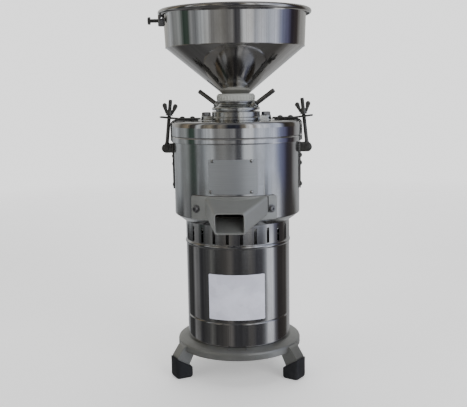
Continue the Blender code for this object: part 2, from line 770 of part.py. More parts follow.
def make_feet():
    """Three rubber boots with a slanting top edge."""
    slope = (FOOT_OUTER_HEIGHT - FOOT_INNER_HEIGHT) / FOOT_LENGTH
    middle = (FOOT_OUTER_HEIGHT + FOOT_INNER_HEIGHT) / 2

    def ring(inset, height=None):
        length = FOOT_LENGTH - 2 * inset
        width = FOOT_WIDTH - 2 * inset
        corner = max(FOOT_CORNER - FOOT_CORNER_SHARE * inset, FOOT_EDGE / 2)
        points = []
        for x, y in rounded_rectangle(length, width, corner):
            z = middle + slope * x if height is None else height
            points.append((FOOT_REACH + x, y, z))
        return points

    rings = [ring(FOOT_EDGE, 0.0), ring(FOOT_EDGE / 4, FOOT_EDGE / 2), ring(0.0, FOOT_EDGE),
             ring(0.0), ring(FOOT_WALL)]
    pocket = ring(FOOT_WALL, FOOT_SOLE)
    for name, angle in zip(("right", "left", "rear"), LEG_ANGLES):
        foot = capped_loft(rings + [pocket])
        foot.matrix_world = rotated(angle)
        place(foot, "rubber_foot_" + name, BLACK_RUBBER)


def make_motor_casing():
    """Steel tube with a bead, a seam groove and a ring of air slots."""
    bead = CASING_TOP - BEAD_DROP
    groove = CASING_BOTTOM + GROOVE_RISE
    outline = [
        (CASING_RADIUS, CASING_TOP),
        (CASING_RADIUS, bead + BEAD_HEIGHT / 2),
        (CASING_RADIUS + BEAD_DEPTH, bead),
        (CASING_RADIUS, bead - BEAD_HEIGHT / 2),
        (CASING_RADIUS, groove + GROOVE_HEIGHT / 2),
        (CASING_RADIUS - GROOVE_DEPTH, groove),
        (CASING_RADIUS, groove - GROOVE_HEIGHT / 2),
        (CASING_RADIUS, CASING_BOTTOM),
        (CASING_INNER, CASING_BOTTOM),
        (CASING_INNER, CASING_TOP),
    ]
    casing = turned(outline, CASING_ROUND, start=180.0 / CASING_ROUND)
    slot_middle = CASING_TOP - SLOT_DROP - SLOT_HEIGHT / 2
    slots = []
    for i in range(SLOT_COUNT):
        turn = rotated(-90.0 + 360.0 * (i + 0.5) / SLOT_COUNT)
        size = (CASING_WALL + 2 * OVERRUN, SLOT_WIDTH, SLOT_HEIGHT)
        centre = moved(x=CASING_RADIUS - CASING_WALL / 2, z=slot_middle)
        slots.append(box(size, turn @ centre))
    cut(casing, many(slots))
    opening = box(
        (SWITCH_WIDTH + 2 * GAP, 2 * SWITCH_DEPTH, SWITCH_HEIGHT + 2 * GAP),
        moved(y=CASING_RADIUS, z=CASING_BOTTOM + CASING_HEIGHT * SWITCH_RISE_SHARE))
    hole = cylinder(
        GLAND_THREAD_RADIUS + GAP, 2 * GLAND_TAIL,
        moved(y=CASING_INNER - GLAND_TAIL, z=CASING_BOTTOM + GLAND_RISE) @ rotated(-90.0, "X"))
    cut(casing, opening, hole)
    return place(casing, "motor_casing", POLISHED_STEEL)


def make_stator():
    """Laminated core with end windings above and below it."""
    core = turned([
        (MOTOR_RADIUS, STATOR_TOP), (MOTOR_RADIUS, STATOR_BOTTOM),
        (STATOR_BORE, STATOR_BOTTOM), (STATOR_BORE, STATOR_TOP)], MEDIUM_ROUND)
    place(core, "stator_core", DARK_STEEL)
    inner = STATOR_BORE + 2 * ROTOR_AIR_GAP
    wall = (MOTOR_RADIUS - SHIELD_WALL - inner) * WINDING_SHARE
    outer = inner + wall
    lean = wall * WINDING_LEAN_SHARE
    ends = (("winding_upper", STATOR_TOP + GAP, 1), ("winding_lower", STATOR_BOTTOM - GAP, -1))
    for name, start, sign in ends:
        end = start + sign * WINDING_HEIGHT
        ring = turned([
            (outer, start), (outer, end - sign * lean), (outer - lean, end),
            (inner + lean, end), (inner, end - sign * lean), (inner, start)], SMALL_ROUND)
        place(ring, name, COPPER)


def make_motor_shields():
    """Upper shield with the mounting flange, and the lower cup."""
    inner = MOTOR_RADIUS - SHIELD_WALL
    seat = UPPER_BEARING_RADIUS + GAP
    seat_bottom = FLANGE_BOTTOM - SHIELD_WALL
    seat_top = seat_bottom + UPPER_BEARING_WIDTH + GAP
    upper = turned([
        (SHAFT_RADIUS + 2 * GAP, UPPER_SHIELD_TOP),
        (CASING_INNER - GAP, UPPER_SHIELD_TOP),
        (CASING_INNER - GAP, FLANGE_BOTTOM),
        (MOTOR_RADIUS, FLANGE_BOTTOM),
        (MOTOR_RADIUS, STATOR_TOP + GAP),
        (inner, STATOR_TOP + GAP),
        (inner, FLANGE_BOTTOM - SHIELD_WALL),
        (seat, seat_bottom),
        (seat, seat_top),
        (SHAFT_RADIUS + 2 * GAP, seat_top)], MEDIUM_ROUND)
    place(upper, "upper_end_shield", CAST_ALUMINIUM)
    seat = LOWER_BEARING_RADIUS + GAP
    floor = LOWER_SHIELD_BOTTOM + SHIELD_WALL
    lower = turned([
        (MOTOR_RADIUS, LOWER_SHIELD_TOP),
        (MOTOR_RADIUS, LOWER_SHIELD_BOTTOM),
        (JOURNAL_RADIUS + 2 * GAP, LOWER_SHIELD_BOTTOM),
        (JOURNAL_RADIUS + 2 * GAP, floor),
        (seat, floor),
        (seat, floor + LOWER_BEARING_WIDTH),
        (seat + SHIELD_WALL, floor + LOWER_BEARING_WIDTH),
        (seat + SHIELD_WALL, floor),
        (inner, floor),
        (inner, LOWER_SHIELD_TOP)], MEDIUM_ROUND)
    place(lower, "lower_end_shield", CAST_ALUMINIUM)


def make_bearings():
    """Ball bearings, each a ring with a shallow dip at its upper shield."""
    seats = (
        ("upper_bearing", UPPER_BEARING_RADIUS, SHAFT_RADIUS, UPPER_BEARING_WIDTH,
         FLANGE_BOTTOM - SHIELD_WALL),
        ("lower_bearing", LOWER_BEARING_RADIUS, JOURNAL_RADIUS, LOWER_BEARING_WIDTH,
         LOWER_SHIELD_BOTTOM + SHIELD_WALL + GAP),
    )
    for name, radius, bore, width, bottom in seats:
        inner = bore + GAP
        top = bottom + width
        dip = top - BEARING_LIP / 4
        outline = [
            (inner, top), (inner + BEARING_LIP, top), (inner + BEARING_LIP, dip),
            (radius - BEARING_LIP, dip), (radius - BEARING_LIP, top), (radius, top),
            (radius, bottom), (inner, bottom)]
        place(turned(outline, SMALL_ROUND), name, PLAIN_STEEL)


def make_rotor(rotor_axis):
    """Shaft, rotor core, fan, impeller, disc and nut: all turn together."""
    lower_shoulder = LOWER_SHIELD_BOTTOM + SHIELD_WALL + LOWER_BEARING_WIDTH + 2 * GAP
    upper_shoulder = ROTOR_DISC_BOTTOM - GAP
    shaft = turned([
        (0.0, SHAFT_TOP),
        (JOURNAL_RADIUS - GAP * 3, SHAFT_TOP),
        (JOURNAL_RADIUS, SHAFT_TOP - GAP * 3),
        (JOURNAL_RADIUS, upper_shoulder),
        (SHAFT_RADIUS, upper_shoulder),
        (SHAFT_RADIUS, lower_shoulder),
        (JOURNAL_RADIUS, lower_shoulder),
        (JOURNAL_RADIUS, SHAFT_BOTTOM),
        (0.0, SHAFT_BOTTOM)], SMALL_ROUND)
    place(shaft, "motor_shaft", PLAIN_STEEL)
    core_radius = STATOR_BORE - ROTOR_AIR_GAP
    core = turned([
        (core_radius, STATOR_TOP), (core_radius, STATOR_BOTTOM),
        (SHAFT_RADIUS + GAP, STATOR_BOTTOM), (SHAFT_RADIUS + GAP, STATOR_TOP)], MEDIUM_ROUND)
    place(core, "rotor_core", DARK_STEEL)
    fan = make_fan()
    disc = grinding_disc(ROTOR_DISC_BOTTOM, ROTOR_DISC_TOP, JOURNAL_RADIUS + GAP, 1)
    place(disc, "rotating_disc", GRINDING_STONE)
    impeller = make_impeller()
    nut = hexagon(SHAFT_NUT_FLATS, SHAFT_NUT_HEIGHT, moved(z=ROTOR_DISC_TOP + GAP))
    cut(nut, cylinder(JOURNAL_RADIUS + GAP, SHAFT_NUT_HEIGHT + 2 * OVERRUN,
                      moved(z=ROTOR_DISC_TOP - OVERRUN)))
    place(nut, "shaft_nut", PLAIN_STEEL)
    carried(rotor_axis, shaft, core, fan, disc, impeller, nut)


def make_fan():
    """Radial cooling fan on the lower end of the shaft."""
    bore = JOURNAL_RADIUS + GAP
    fan = turned([
        (bore, FAN_TOP), (FAN_HUB_RADIUS, FAN_TOP),
        (FAN_HUB_RADIUS, FAN_BOTTOM + FAN_PLATE), (FAN_RADIUS, FAN_BOTTOM + FAN_PLATE),
        (FAN_RADIUS, FAN_BOTTOM), (bore, FAN_BOTTOM)], SMALL_ROUND)
    length = FAN_RADIUS - FAN_HUB_RADIUS
    height = FAN_HEIGHT - FAN_PLATE / 2
    for i in range(FAN_BLADES):
        turn = rotated(360.0 * i / FAN_BLADES)
        reach = FAN_HUB_RADIUS + (length - FAN_PLATE) / 2
        centre = moved(x=reach, z=FAN_TOP - height / 2 - FAN_PLATE / 4)
        blade = box((length, FAN_BLADE_THICKNESS, height), turn @ centre)
        fuse(fan, blade)
    return place(fan, "cooling_fan", BLACK_PLASTIC)


def grinding_disc(bottom, top, bore, face):
    """Disc with radial grooves in its upper (1) or lower (-1) face."""
    disc = turned([
        (DISC_RADIUS, top), (DISC_RADIUS, bottom), (bore, bottom), (bore, top)], MEDIUM_ROUND)
    level = top if face > 0 else bottom
    land = max(bore, SLEEVE_BORE)
    length = DISC_RADIUS - land + OVERRUN
    grooves = []
    for i in range(DISC_GROOVES):
        turn = rotated(360.0 * (i + 0.5) / DISC_GROOVES)
        lean = rotated(face * DISC_GROOVE_LEAN)
        centre = moved(x=land + DISC_GROOVE_WIDTH + length / 2)
        size = (length, DISC_GROOVE_WIDTH, 2 * DISC_GROOVE_DEPTH)
        grooves.append(box(size, turn @ centre @ lean @ moved(z=level)))
    return cut(disc, many(grooves))


def make_impeller():
    """Hub with scraper blades that sweep the bowl floor to the spout."""
    bore = SHAFT_RADIUS + GAP
    hub_bottom = BOWL_BOSS_TOP + IMPELLER_FLOOR_CLEARANCE
    hub_top = ROTOR_DISC_BOTTOM - GAP
    impeller = turned([
        (bore, hub_top), (IMPELLER_HUB_RADIUS * IMPELLER_SHOULDER_SHARE, hub_top),
        (IMPELLER_HUB_RADIUS, hub_top - IMPELLER_HUB_RADIUS / 2),
        (IMPELLER_HUB_RADIUS, hub_bottom), (bore, hub_bottom)], SMALL_ROUND)
    blade_bottom = BOWL_FLOOR_TOP + IMPELLER_FLOOR_CLEARANCE
    blade_top = hub_bottom + IMPELLER_BLADE_HEIGHT / 2
    inner = BOWL_BOSS_RADIUS + IMPELLER_FLOOR_CLEARANCE
    outline = [
        (IMPELLER_HUB_RADIUS - IMPELLER_THICKNESS / 2, blade_top),
        (IMPELLER_HUB_RADIUS - IMPELLER_THICKNESS / 2, hub_bottom + OVERRUN / 2),
        (inner, hub_bottom + OVERRUN / 2),
        (inner, blade_bottom),
        (IMPELLER_REACH, blade_bottom),
        (IMPELLER_REACH, blade_bottom + IMPELLER_BLADE_HEIGHT / 2),
        (inner + IMPELLER_BLADE_HEIGHT, blade_top)]
    for i in range(IMPELLER_BLADES):
        upright = rotated(360.0 * i / IMPELLER_BLADES) @ rotated(90.0, "X")
        fuse(impeller, flat_plate(outline, IMPELLER_THICKNESS, upright))
    return place(impeller, "impeller", PLAIN_STEEL)


def make_capacitor():
    """Run capacitor standing on the base against the casing wall."""
    reach = CASING_INNER - CAPACITOR_RADIUS - SPIGOT_WALL - 4 * GAP
    edge = CAPACITOR_RADIUS / 6
    bottom = BASE_TOP + GAP
    can = turned([
        (0.0, bottom + CAPACITOR_HEIGHT), (CAPACITOR_RADIUS - edge, bottom + CAPACITOR_HEIGHT),
        (CAPACITOR_RADIUS, bottom + CAPACITOR_HEIGHT - edge), (CAPACITOR_RADIUS, bottom + edge),
        (CAPACITOR_RADIUS - edge, bottom), (0.0, bottom)], SMALL_ROUND)
    can.matrix_world = rotated(CAPACITOR_ANGLE) @ moved(x=reach)
    place(can, "run_capacitor", BRIGHT_ALUMINIUM)


def spout_passage(inward=CHUTE_PASSAGE_SHARE):
    """Inside of the spout as a solid, from the bowl to past the mouth."""
    stations = (-inward, 1.0 + CHUTE_PASSAGE_SHARE)
    return capped_loft([spout_ring(station, CHUTE_WALL) for station in stations])


def spout_ring(share, inset):
    """Section of the spout between its root at 0 and its mouth at 1."""
    root_top = CHUTE_TOP - CHUTE_ROOT_TOP_DROP
    root_height = root_top - DRUM_CORNER
    mouth_bottom = DRUM_CORNER - CHUTE_MOUTH_DROP
    width = CHUTE_ROOT_WIDTH + (CHUTE_MOUTH_WIDTH - CHUTE_ROOT_WIDTH) * share
    height = root_height + (CHUTE_MOUTH_HEIGHT - root_height) * share
    bottom = DRUM_CORNER + (mouth_bottom - DRUM_CORNER) * share
    reach = CHUTE_ROOT_REACH + (CHUTE_MOUTH_REACH - CHUTE_ROOT_REACH) * share
    corner = CHUTE_MOUTH_CORNER - inset / 2
    points = []
    for x, z in rounded_rectangle(width - 2 * inset, height - 2 * inset, corner):
        points.append((CHUTE_MOUTH_OFFSET * share + x, -reach, bottom + height / 2 + z))
    return points


def make_chute():
    """Cast spout: a curved flange plate with a tapering mouth."""
    plate = curved_sheet(
        CHUTE_PLATE_INNER, CHUTE_PLATE_THICKNESS, DRUM_CORNER, CHUTE_PLATE_HEIGHT,
        CHUTE_PLATE_ANGLE, steps=SPOUT_FLATS)
    skin = capped_loft([spout_ring(0.0, 0.0), spout_ring(1.0, 0.0)])
    core = cylinder(
        CHUTE_PLATE_INNER + CHUTE_PLATE_THICKNESS / 2, CASING_HEIGHT,
        moved(z=DRUM_BOTTOM - CASING_HEIGHT / 2), LARGE_ROUND)
    cut(skin, core)
    hide_tool(skin, "chute_skin")
    fuse(plate, skin)
    cut(plate, spout_passage())
    for side in (-1, 1):
        cut(plate, chute_screw_hole(side))
    return place(plate, "discharge_spout", CAST_ALUMINIUM)


def chute_screw_frame(side):
    """Frame of one spout screw, +Z pointing out of the drum."""
    return (rotated(-90.0 + side * CHUTE_SCREW_ANGLE) @ moved(z=CHUTE_TOP - CHUTE_SCREW_DROP)
            @ rotated(90.0, "Y"))


def chute_screw_hole(side):
    """Clearance hole for one spout screw, through plate, gasket and drum."""
    return cylinder(
        CHUTE_SCREW_RADIUS + GAP, DRUM_RADIUS,
        chute_screw_frame(side) @ moved(z=BOWL_INNER + BOWL_WALL / 2), TINY_ROUND)


def make_chute_gasket():
    """Thin gasket behind the spout's flange plate."""
    gasket = curved_sheet(
        GASKET_INNER, CHUTE_GASKET, DRUM_CORNER, CHUTE_PLATE_HEIGHT,
        CHUTE_PLATE_ANGLE, steps=SPOUT_FLATS)
    cut(gasket, spout_passage(), chute_screw_hole(-1), chute_screw_hole(1))
    return place(gasket, "spout_gasket", SEAL_RUBBER)


def make_chute_screws():
    """Round-headed screws with washers that hold the spout."""
    face = CHUTE_PLATE_OUTER + GAP
    rim = face + CHUTE_WASHER_THICKNESS
    top = rim + CHUTE_SCREW_HEAD_HEIGHT
    tip = BOWL_INNER + BOWL_WALL / 2 + GAP
    outline = [
        (0.0, top), (CHUTE_SCREW_HEAD * CHUTE_SCREW_TOP_SHARE, top),
        (CHUTE_SCREW_HEAD, rim + CHUTE_SCREW_HEAD_HEIGHT / 2),
        (CHUTE_SCREW_HEAD, rim), (CHUTE_WASHER_RADIUS, rim), (CHUTE_WASHER_RADIUS, face),
        (CHUTE_SCREW_RADIUS, face), (CHUTE_SCREW_RADIUS, tip), (0.0, tip)]
    for name, side in (("left", -1), ("right", 1)):
        screw = turned(outline, TINY_ROUND)
        screw.matrix_world = chute_screw_frame(side)
        place(screw, "spout_screw_" + name, PLAIN_STEEL)


def make_drum():
    """Outer shell: plain cylinder, conical lower edge and a bolted floor."""
    line = [
        (DRUM_RADIUS, DRUM_TOP), (DRUM_RADIUS, DRUM_CORNER),
        (DRUM_CONE_RADIUS, DRUM_BOTTOM), (DRUM_FLOOR_BORE, DRUM_BOTTOM)]
    drum = turned(thick_line(line, DRUM_WALL), LARGE_ROUND)
    cut(drum, spout_passage(), chute_screw_hole(-1), chute_screw_hole(1))
    return place(drum, "grinding_drum", POLISHED_STEEL)


def make_bowl():
    """Cast liner whose floor leads the butter to the spout."""
    foot = DRUM_CONE_RADIUS - DRUM_WALL - GAP
    corner = DRUM_CORNER + DRUM_WALL
    pocket = BOWL_BOTTOM + BOWL_SEAT
    outline = [
        (BOWL_INNER, BOWL_TOP), (BOWL_RADIUS, BOWL_TOP), (BOWL_RADIUS, corner),
        (foot, BOWL_BOTTOM), (foot - BOWL_SEAT, BOWL_BOTTOM), (foot - BOWL_SEAT, pocket),
        (SHAFT_RADIUS + BOWL_WALL / 2, pocket),
        (SHAFT_RADIUS + BOWL_WALL / 2, BOWL_BOSS_TOP - SEAL_HEIGHT),
        (SEAL_RADIUS + GAP, BOWL_BOSS_TOP - SEAL_HEIGHT), (SEAL_RADIUS + GAP, BOWL_BOSS_TOP),
        (BOWL_BOSS_RADIUS, BOWL_BOSS_TOP), (BOWL_BOSS_RADIUS, BOWL_FLOOR_TOP),
        (BOWL_INNER - BOWL_WALL, BOWL_FLOOR_TOP), (BOWL_INNER, BOWL_FLOOR_TOP + BOWL_WALL)]
    bowl = turned(outline, LARGE_ROUND)
    cut(bowl, spout_passage(BOWL_PASSAGE_SHARE), chute_screw_hole(-1), chute_screw_hole(1))
    place(bowl, "chamber_bowl", CAST_ALUMINIUM)
    bottom = BOWL_BOSS_TOP - SEAL_HEIGHT + GAP
    seal = turned([
        (SHAFT_RADIUS + GAP, BOWL_BOSS_TOP), (SEAL_RADIUS, BOWL_BOSS_TOP),
        (SEAL_RADIUS, bottom), (SHAFT_RADIUS + GAP, bottom)], SMALL_ROUND)
    place(seal, "shaft_seal", SEAL_RUBBER)


def make_plates():
    """Nameplate on the drum and label on the casing, both blank."""
    nameplate = curved_sheet(
        DRUM_RADIUS + GAP, NAMEPLATE_THICKNESS, CHUTE_TOP + NAMEPLATE_ABOVE_CHUTE,
        NAMEPLATE_HEIGHT, NAMEPLATE_ANGLE)
    place(nameplate, "nameplate", BRIGHT_ALUMINIUM)
    label = curved_sheet(
        CASING_RADIUS + GAP, LABEL_THICKNESS, CASING_BOTTOM + CASING_HEIGHT * LABEL_RISE_SHARE,
        CASING_HEIGHT * LABEL_HEIGHT_SHARE, LABEL_ANGLE, LABEL_TURN)
    place(label, "casing_label", LABEL_WHITE)


def make_cover():
    """Pressed cover with a rounded shoulder and a ledge on the gasket."""
    inner = COVER_RADIUS - COVER_WALL
    groove = COVER_BOTTOM + COVER_GROOVE_RISE
    middle = (COVER_RADIUS - COVER_SHOULDER, COVER_TOP_LEVEL - COVER_SHOULDER)
    shoulder = arc(middle, COVER_SHOULDER, 90.0, 0.0, 3)
    hollow = COVER_TOP_LEVEL - COVER_TOP
    outline = [(COVER_BORE, COVER_TOP_LEVEL)] + shoulder + [
        (COVER_RADIUS, groove + COVER_GROOVE_WIDTH / 2),
        (COVER_RADIUS - COVER_GROOVE_DEPTH, groove),
        (COVER_RADIUS, groove - COVER_GROOVE_WIDTH / 2),
        (COVER_RADIUS, COVER_BOTTOM),
        (inner, COVER_BOTTOM),
        (inner, COVER_LEDGE_BOTTOM),
        (inner - COVER_LEDGE_REACH, COVER_LEDGE_BOTTOM),
        (inner - COVER_LEDGE_REACH, COVER_LEDGE_BOTTOM + COVER_LEDGE),
        (inner, COVER_LEDGE_BOTTOM + COVER_LEDGE),
        (inner, hollow - COVER_SHOULDER / 2),
        (inner - COVER_SHOULDER / 2, hollow),
        (COVER_BORE, hollow)]
    cover = turned(outline, LARGE_ROUND)
    for side in (0.0, 180.0):
        frame = rotated(side) @ moved(x=HUB_EAR_REACH, z=COVER_TOP_LEVEL - 2 * COVER_TOP)
        cut(cover, cylinder(HUB_SCREW_RADIUS + GAP, 4 * COVER_TOP, frame))
    place(cover, "chamber_cover", POLISHED_STEEL)
    outer = BOWL_RADIUS
    gasket = turned([
        (outer, GASKET_BOTTOM + GASKET_THICKNESS), (outer, GASKET_BOTTOM),
        (outer - GASKET_WIDTH, GASKET_BOTTOM),
        (outer - GASKET_WIDTH, GASKET_BOTTOM + GASKET_THICKNESS)], MEDIUM_ROUND)
    place(gasket, "cover_gasket", SEAL_RUBBER)


def make_hub():
    """Threaded hub bolted to the cover by two ears."""
    bead_top = HUB_SEAT + HUB_HEIGHT / 4
    outline = [
        (HUB_THREAD_RADIUS, HUB_TOP), (HUB_RADIUS - HUB_BEAD, HUB_TOP),
        (HUB_RADIUS, HUB_TOP - HUB_BEAD),
        (HUB_RADIUS, bead_top + HUB_BEAD), (HUB_RADIUS + HUB_BEAD, bead_top),
        (HUB_RADIUS + HUB_BEAD, HUB_SEAT), (HUB_NECK_RADIUS, HUB_SEAT),
        (HUB_NECK_RADIUS, HUB_SEAT - HUB_DEPTH), (HUB_THREAD_RADIUS, HUB_SEAT - HUB_DEPTH)]
    hub = turned(outline, MEDIUM_ROUND)
    ear = arc((HUB_EAR_REACH, 0.0), HUB_EAR_RADIUS, -HUB_EAR_SWEEP, HUB_EAR_SWEEP, 6)
    root = HUB_RADIUS - HUB_EAR_RADIUS / 2
    half = HUB_EAR_RADIUS * HUB_EAR_ROOT_SHARE
    outline = ear + [(root, half), (root, -half)]
    for side in (0.0, 180.0):
        middle = HUB_SEAT + HUB_EAR_THICKNESS / 2 + GAP / 2
        fuse(hub, flat_plate(outline, HUB_EAR_THICKNESS, rotated(side) @ moved(z=middle)))
        cut(hub, cylinder(HUB_SCREW_RADIUS + GAP, HUB_HEIGHT,
                          rotated(side) @ moved(x=HUB_EAR_REACH, z=HUB_SEAT - OVERRUN), TINY_ROUND))
    place(hub, "cover_hub", BRIGHT_ALUMINIUM)
    seat = HUB_SEAT + HUB_EAR_THICKNESS + 2 * GAP
    for name, side in (("right", 0.0), ("left", 180.0)):
        frame = rotated(side) @ moved(x=HUB_EAR_REACH)
        screw = hexagon(HUB_SCREW_FLATS, HUB_SCREW_HEAD, frame @ moved(z=seat))
        length = HUB_EAR_THICKNESS + 2 * COVER_TOP
        shank = frame @ moved(z=seat - length)
        fuse(screw, cylinder(HUB_SCREW_RADIUS, length + OVERRUN, shank, TINY_ROUND))
        place(screw, "hub_screw_" + name, PLAIN_STEEL)


def make_adjuster(sleeve_axis, collar_axis):
    """Feed sleeve with the upper disc, and the collar that lifts it."""
    sleeve = turned([
        (SLEEVE_BORE, SLEEVE_TOP), (SLEEVE_RADIUS, SLEEVE_TOP), (SLEEVE_RADIUS, SHOULDER_TOP),
        (SLEEVE_SHOULDER_RADIUS, SHOULDER_TOP), (SLEEVE_SHOULDER_RADIUS, SHOULDER_BOTTOM),
        (SLEEVE_RADIUS, SHOULDER_BOTTOM), (SLEEVE_RADIUS, SLEEVE_BOTTOM + SLEEVE_FLANGE),
        (SLEEVE_FLANGE_RADIUS, SLEEVE_BOTTOM + SLEEVE_FLANGE), (SLEEVE_FLANGE_RADIUS, SLEEVE_BOTTOM),
        (SLEEVE_BORE, SLEEVE_BOTTOM)], MEDIUM_ROUND)
    place(sleeve, "feed_sleeve", PLAIN_STEEL)
    disc = grinding_disc(FIXED_DISC_BOTTOM, FIXED_DISC_TOP, SLEEVE_BORE, -1)
    place(disc, "fixed_disc", GRINDING_STONE)
    bell_foot = COLLAR_BOTTOM + COLLAR_SKIRT
    neck = COLLAR_TOP - COLLAR_SKIRT / 2
    collar = turned([
        (SLEEVE_RADIUS + 2 * GAP, COLLAR_TOP), (COLLAR_TOP_RADIUS - HUB_BEAD, COLLAR_TOP),
        (COLLAR_TOP_RADIUS, neck),
        (COLLAR_RADIUS - COLLAR_SKIRT, bell_foot + COLLAR_SKIRT / 3),
        (COLLAR_RADIUS, bell_foot - COLLAR_SKIRT / 4), (COLLAR_RADIUS, COLLAR_BOTTOM),
        (COLLAR_THREAD_RADIUS, COLLAR_BOTTOM), (COLLAR_THREAD_RADIUS, COLLAR_BOTTOM - COLLAR_DEPTH),
        (SLEEVE_RADIUS + 2 * GAP, COLLAR_BOTTOM - COLLAR_DEPTH)], MEDIUM_ROUND)
    rods = []
    for name, turn in (("right", ROD_ANGLE), ("left", ROD_ANGLE + 180.0)):
        frame = rod_frame(turn)
        length = (ROD_TIP_RADIUS - ROD_ROOT_RADIUS) / math.cos(math.radians(ROD_SLOPE))
        rod = turned([
            (0.0, length), (ROD_RADIUS * ROD_END_SHARE, length),
            (ROD_RADIUS, length - ROD_RADIUS * ROD_EDGE_SHARE),
            (ROD_RADIUS, ROD_RADIUS * ROD_EDGE_SHARE), (0.0, 0.0)], TINY_ROUND)
        rod.matrix_local = frame
        rods.append(place(rod, "adjuster_rod_" + name, PLAIN_STEEL))
        socket = cylinder(ROD_RADIUS + GAP, length, frame @ moved(z=-GAP), TINY_ROUND)
        cut(collar, socket)
    place(collar, "adjusting_collar", BRIGHT_ALUMINIUM)
    carried(sleeve_axis, sleeve, disc)
    carried(collar_axis, collar, *rods)


def rod_frame(turn):
    """Frame at the root of one adjuster rod, +Z along the rod."""
    tip = COLLAR_BOTTOM + ROD_TIP_HEIGHT
    rise = (ROD_TIP_RADIUS - ROD_ROOT_RADIUS) * math.tan(math.radians(ROD_SLOPE))
    return (rotated(turn) @ moved(x=ROD_ROOT_RADIUS, z=tip - rise)
            @ rotated(90.0 - ROD_SLOPE, "Y"))


def make_hopper(hopper_axis):
    """Pressed funnel with a rolled lip, a straight belt and a neck."""
    top = HOPPER_TOP - HOPPER_WALL
    line = []
    for inward, down in HOPPER_LIP_SHARES:
        line.append((HOPPER_RIM_RADIUS - HOPPER_LIP * inward, top - HOPPER_LIP * down))
    line += [
        (HOPPER_TOP_RADIUS, HOPPER_LIP_BOTTOM),
        (HOPPER_BELT_RADIUS, HOPPER_BELT_BOTTOM), (HOPPER_OUTLET_RADIUS, HOPPER_OUTLET),
        (NECK_RADIUS, HOPPER_OUTLET - GAP / 2), (NECK_RADIUS, HOPPER_OUTLET - HOPPER_NECK_LENGTH)]
    hopper = turned(thick_line(line, HOPPER_WALL), LARGE_ROUND)
    flange_bottom = SLEEVE_TOP + GAP
    neck_inner = NECK_RADIUS - HOPPER_WALL / 2
    fuse(hopper, turned([
        (HOPPER_FLANGE_RADIUS, flange_bottom + HOPPER_FLANGE), (HOPPER_FLANGE_RADIUS, flange_bottom),
        (neck_inner, flange_bottom), (neck_inner, flange_bottom + HOPPER_FLANGE)], MEDIUM_ROUND))
    place(hopper, "hopper", POLISHED_STEEL)
    bracket = make_hopper_bracket()
    bolt = make_bracket_bolt()
    carried(hopper_axis, hopper, bracket, bolt)


def bracket_frame():
    """Frame of the clamp bracket: X outwards from the axis, on the rim."""
    return rotated(BRACKET_ANGLE) @ moved(z=HOPPER_TOP - BRACKET_DROP)


def make_hopper_bracket():
    """U of folded sheet, open to the wall, with a hole in each cheek."""
    half = BRACKET_WIDTH / 2
    wall = math.sqrt(HOPPER_TOP_RADIUS ** 2 - half ** 2) + GAP * 4
    outer = HOPPER_TOP_RADIUS + BRACKET_STANDOUT
    line = [(wall, half), (outer - BRACKET_SHEET, half), (outer, half - BRACKET_SHEET),
            (outer, BRACKET_SHEET - half), (outer - BRACKET_SHEET, -half), (wall, -half)]
    middle = -BRACKET_HEIGHT / 2
    bracket = flat_plate(
        thick_line(line, BRACKET_SHEET), BRACKET_HEIGHT, bracket_frame() @ moved(z=middle))
    hole = cylinder(
        BRACKET_HOLE_RADIUS, 2 * BRACKET_WIDTH,
        bracket_frame() @ moved(x=(wall + outer - BRACKET_SHEET) / 2, y=BRACKET_WIDTH, z=middle / 2)
        @ rotated(90.0, "X"), TINY_ROUND)
    thread = cylinder(
        BRACKET_BOLT_RADIUS + GAP, BRACKET_WIDTH,
        bracket_frame() @ moved(x=outer - BRACKET_STANDOUT / 2, z=-BRACKET_BOLT_DROP) @ rotated(90.0, "Y"),
        TINY_ROUND)
    cut(bracket, hole, thread)
    return place(bracket, "clamp_bracket", PLAIN_STEEL)


def make_bracket_bolt():
    """Hexagon bolt in the outer wall of the clamp bracket."""
    outer = HOPPER_TOP_RADIUS + BRACKET_STANDOUT
    start = outer - BRACKET_SHEET - BRACKET_BOLT_INSIDE
    root = bracket_frame() @ moved(x=start, z=-BRACKET_BOLT_DROP)
    length = BRACKET_SHEET + BRACKET_BOLT_INSIDE + BRACKET_BOLT_SHOWN
    along = root @ rotated(90.0, "Y")
    bolt = hexagon(BRACKET_BOLT_FLATS, BRACKET_BOLT_HEAD, along @ moved(z=length))
    fuse(bolt, cylinder(BRACKET_BOLT_RADIUS, length + OVERRUN / 2, along, TINY_ROUND))
    return place(bolt, "clamp_bolt", PLAIN_STEEL)


def make_ring_nut(ring_axis):
    """Ribbed plastic ring nut that holds the hopper on the sleeve."""
    inner = SLEEVE_RADIUS + 2 * GAP
    lip_radius = NECK_RADIUS + 2 * GAP
    lip = RING_NUT_TOP - RING_NUT_LIP
    nut = turned([
        (lip_radius, RING_NUT_TOP), (RING_NUT_RADIUS - RING_NUT_CHAMFER, RING_NUT_TOP),
        (RING_NUT_RADIUS, RING_NUT_TOP - RING_NUT_CHAMFER * RING_NUT_TOP_SHARE),
        (RING_NUT_RADIUS, RING_NUT_BOTTOM + RING_NUT_CHAMFER / 3),
        (RING_NUT_RADIUS - RING_NUT_CHAMFER / 3, RING_NUT_BOTTOM),
        (inner, RING_NUT_BOTTOM), (inner, lip), (lip_radius, lip)], RING_NUT_RIBS)
    place(nut, "ring_nut", WHITE_PLASTIC)
    carried(ring_axis, nut)


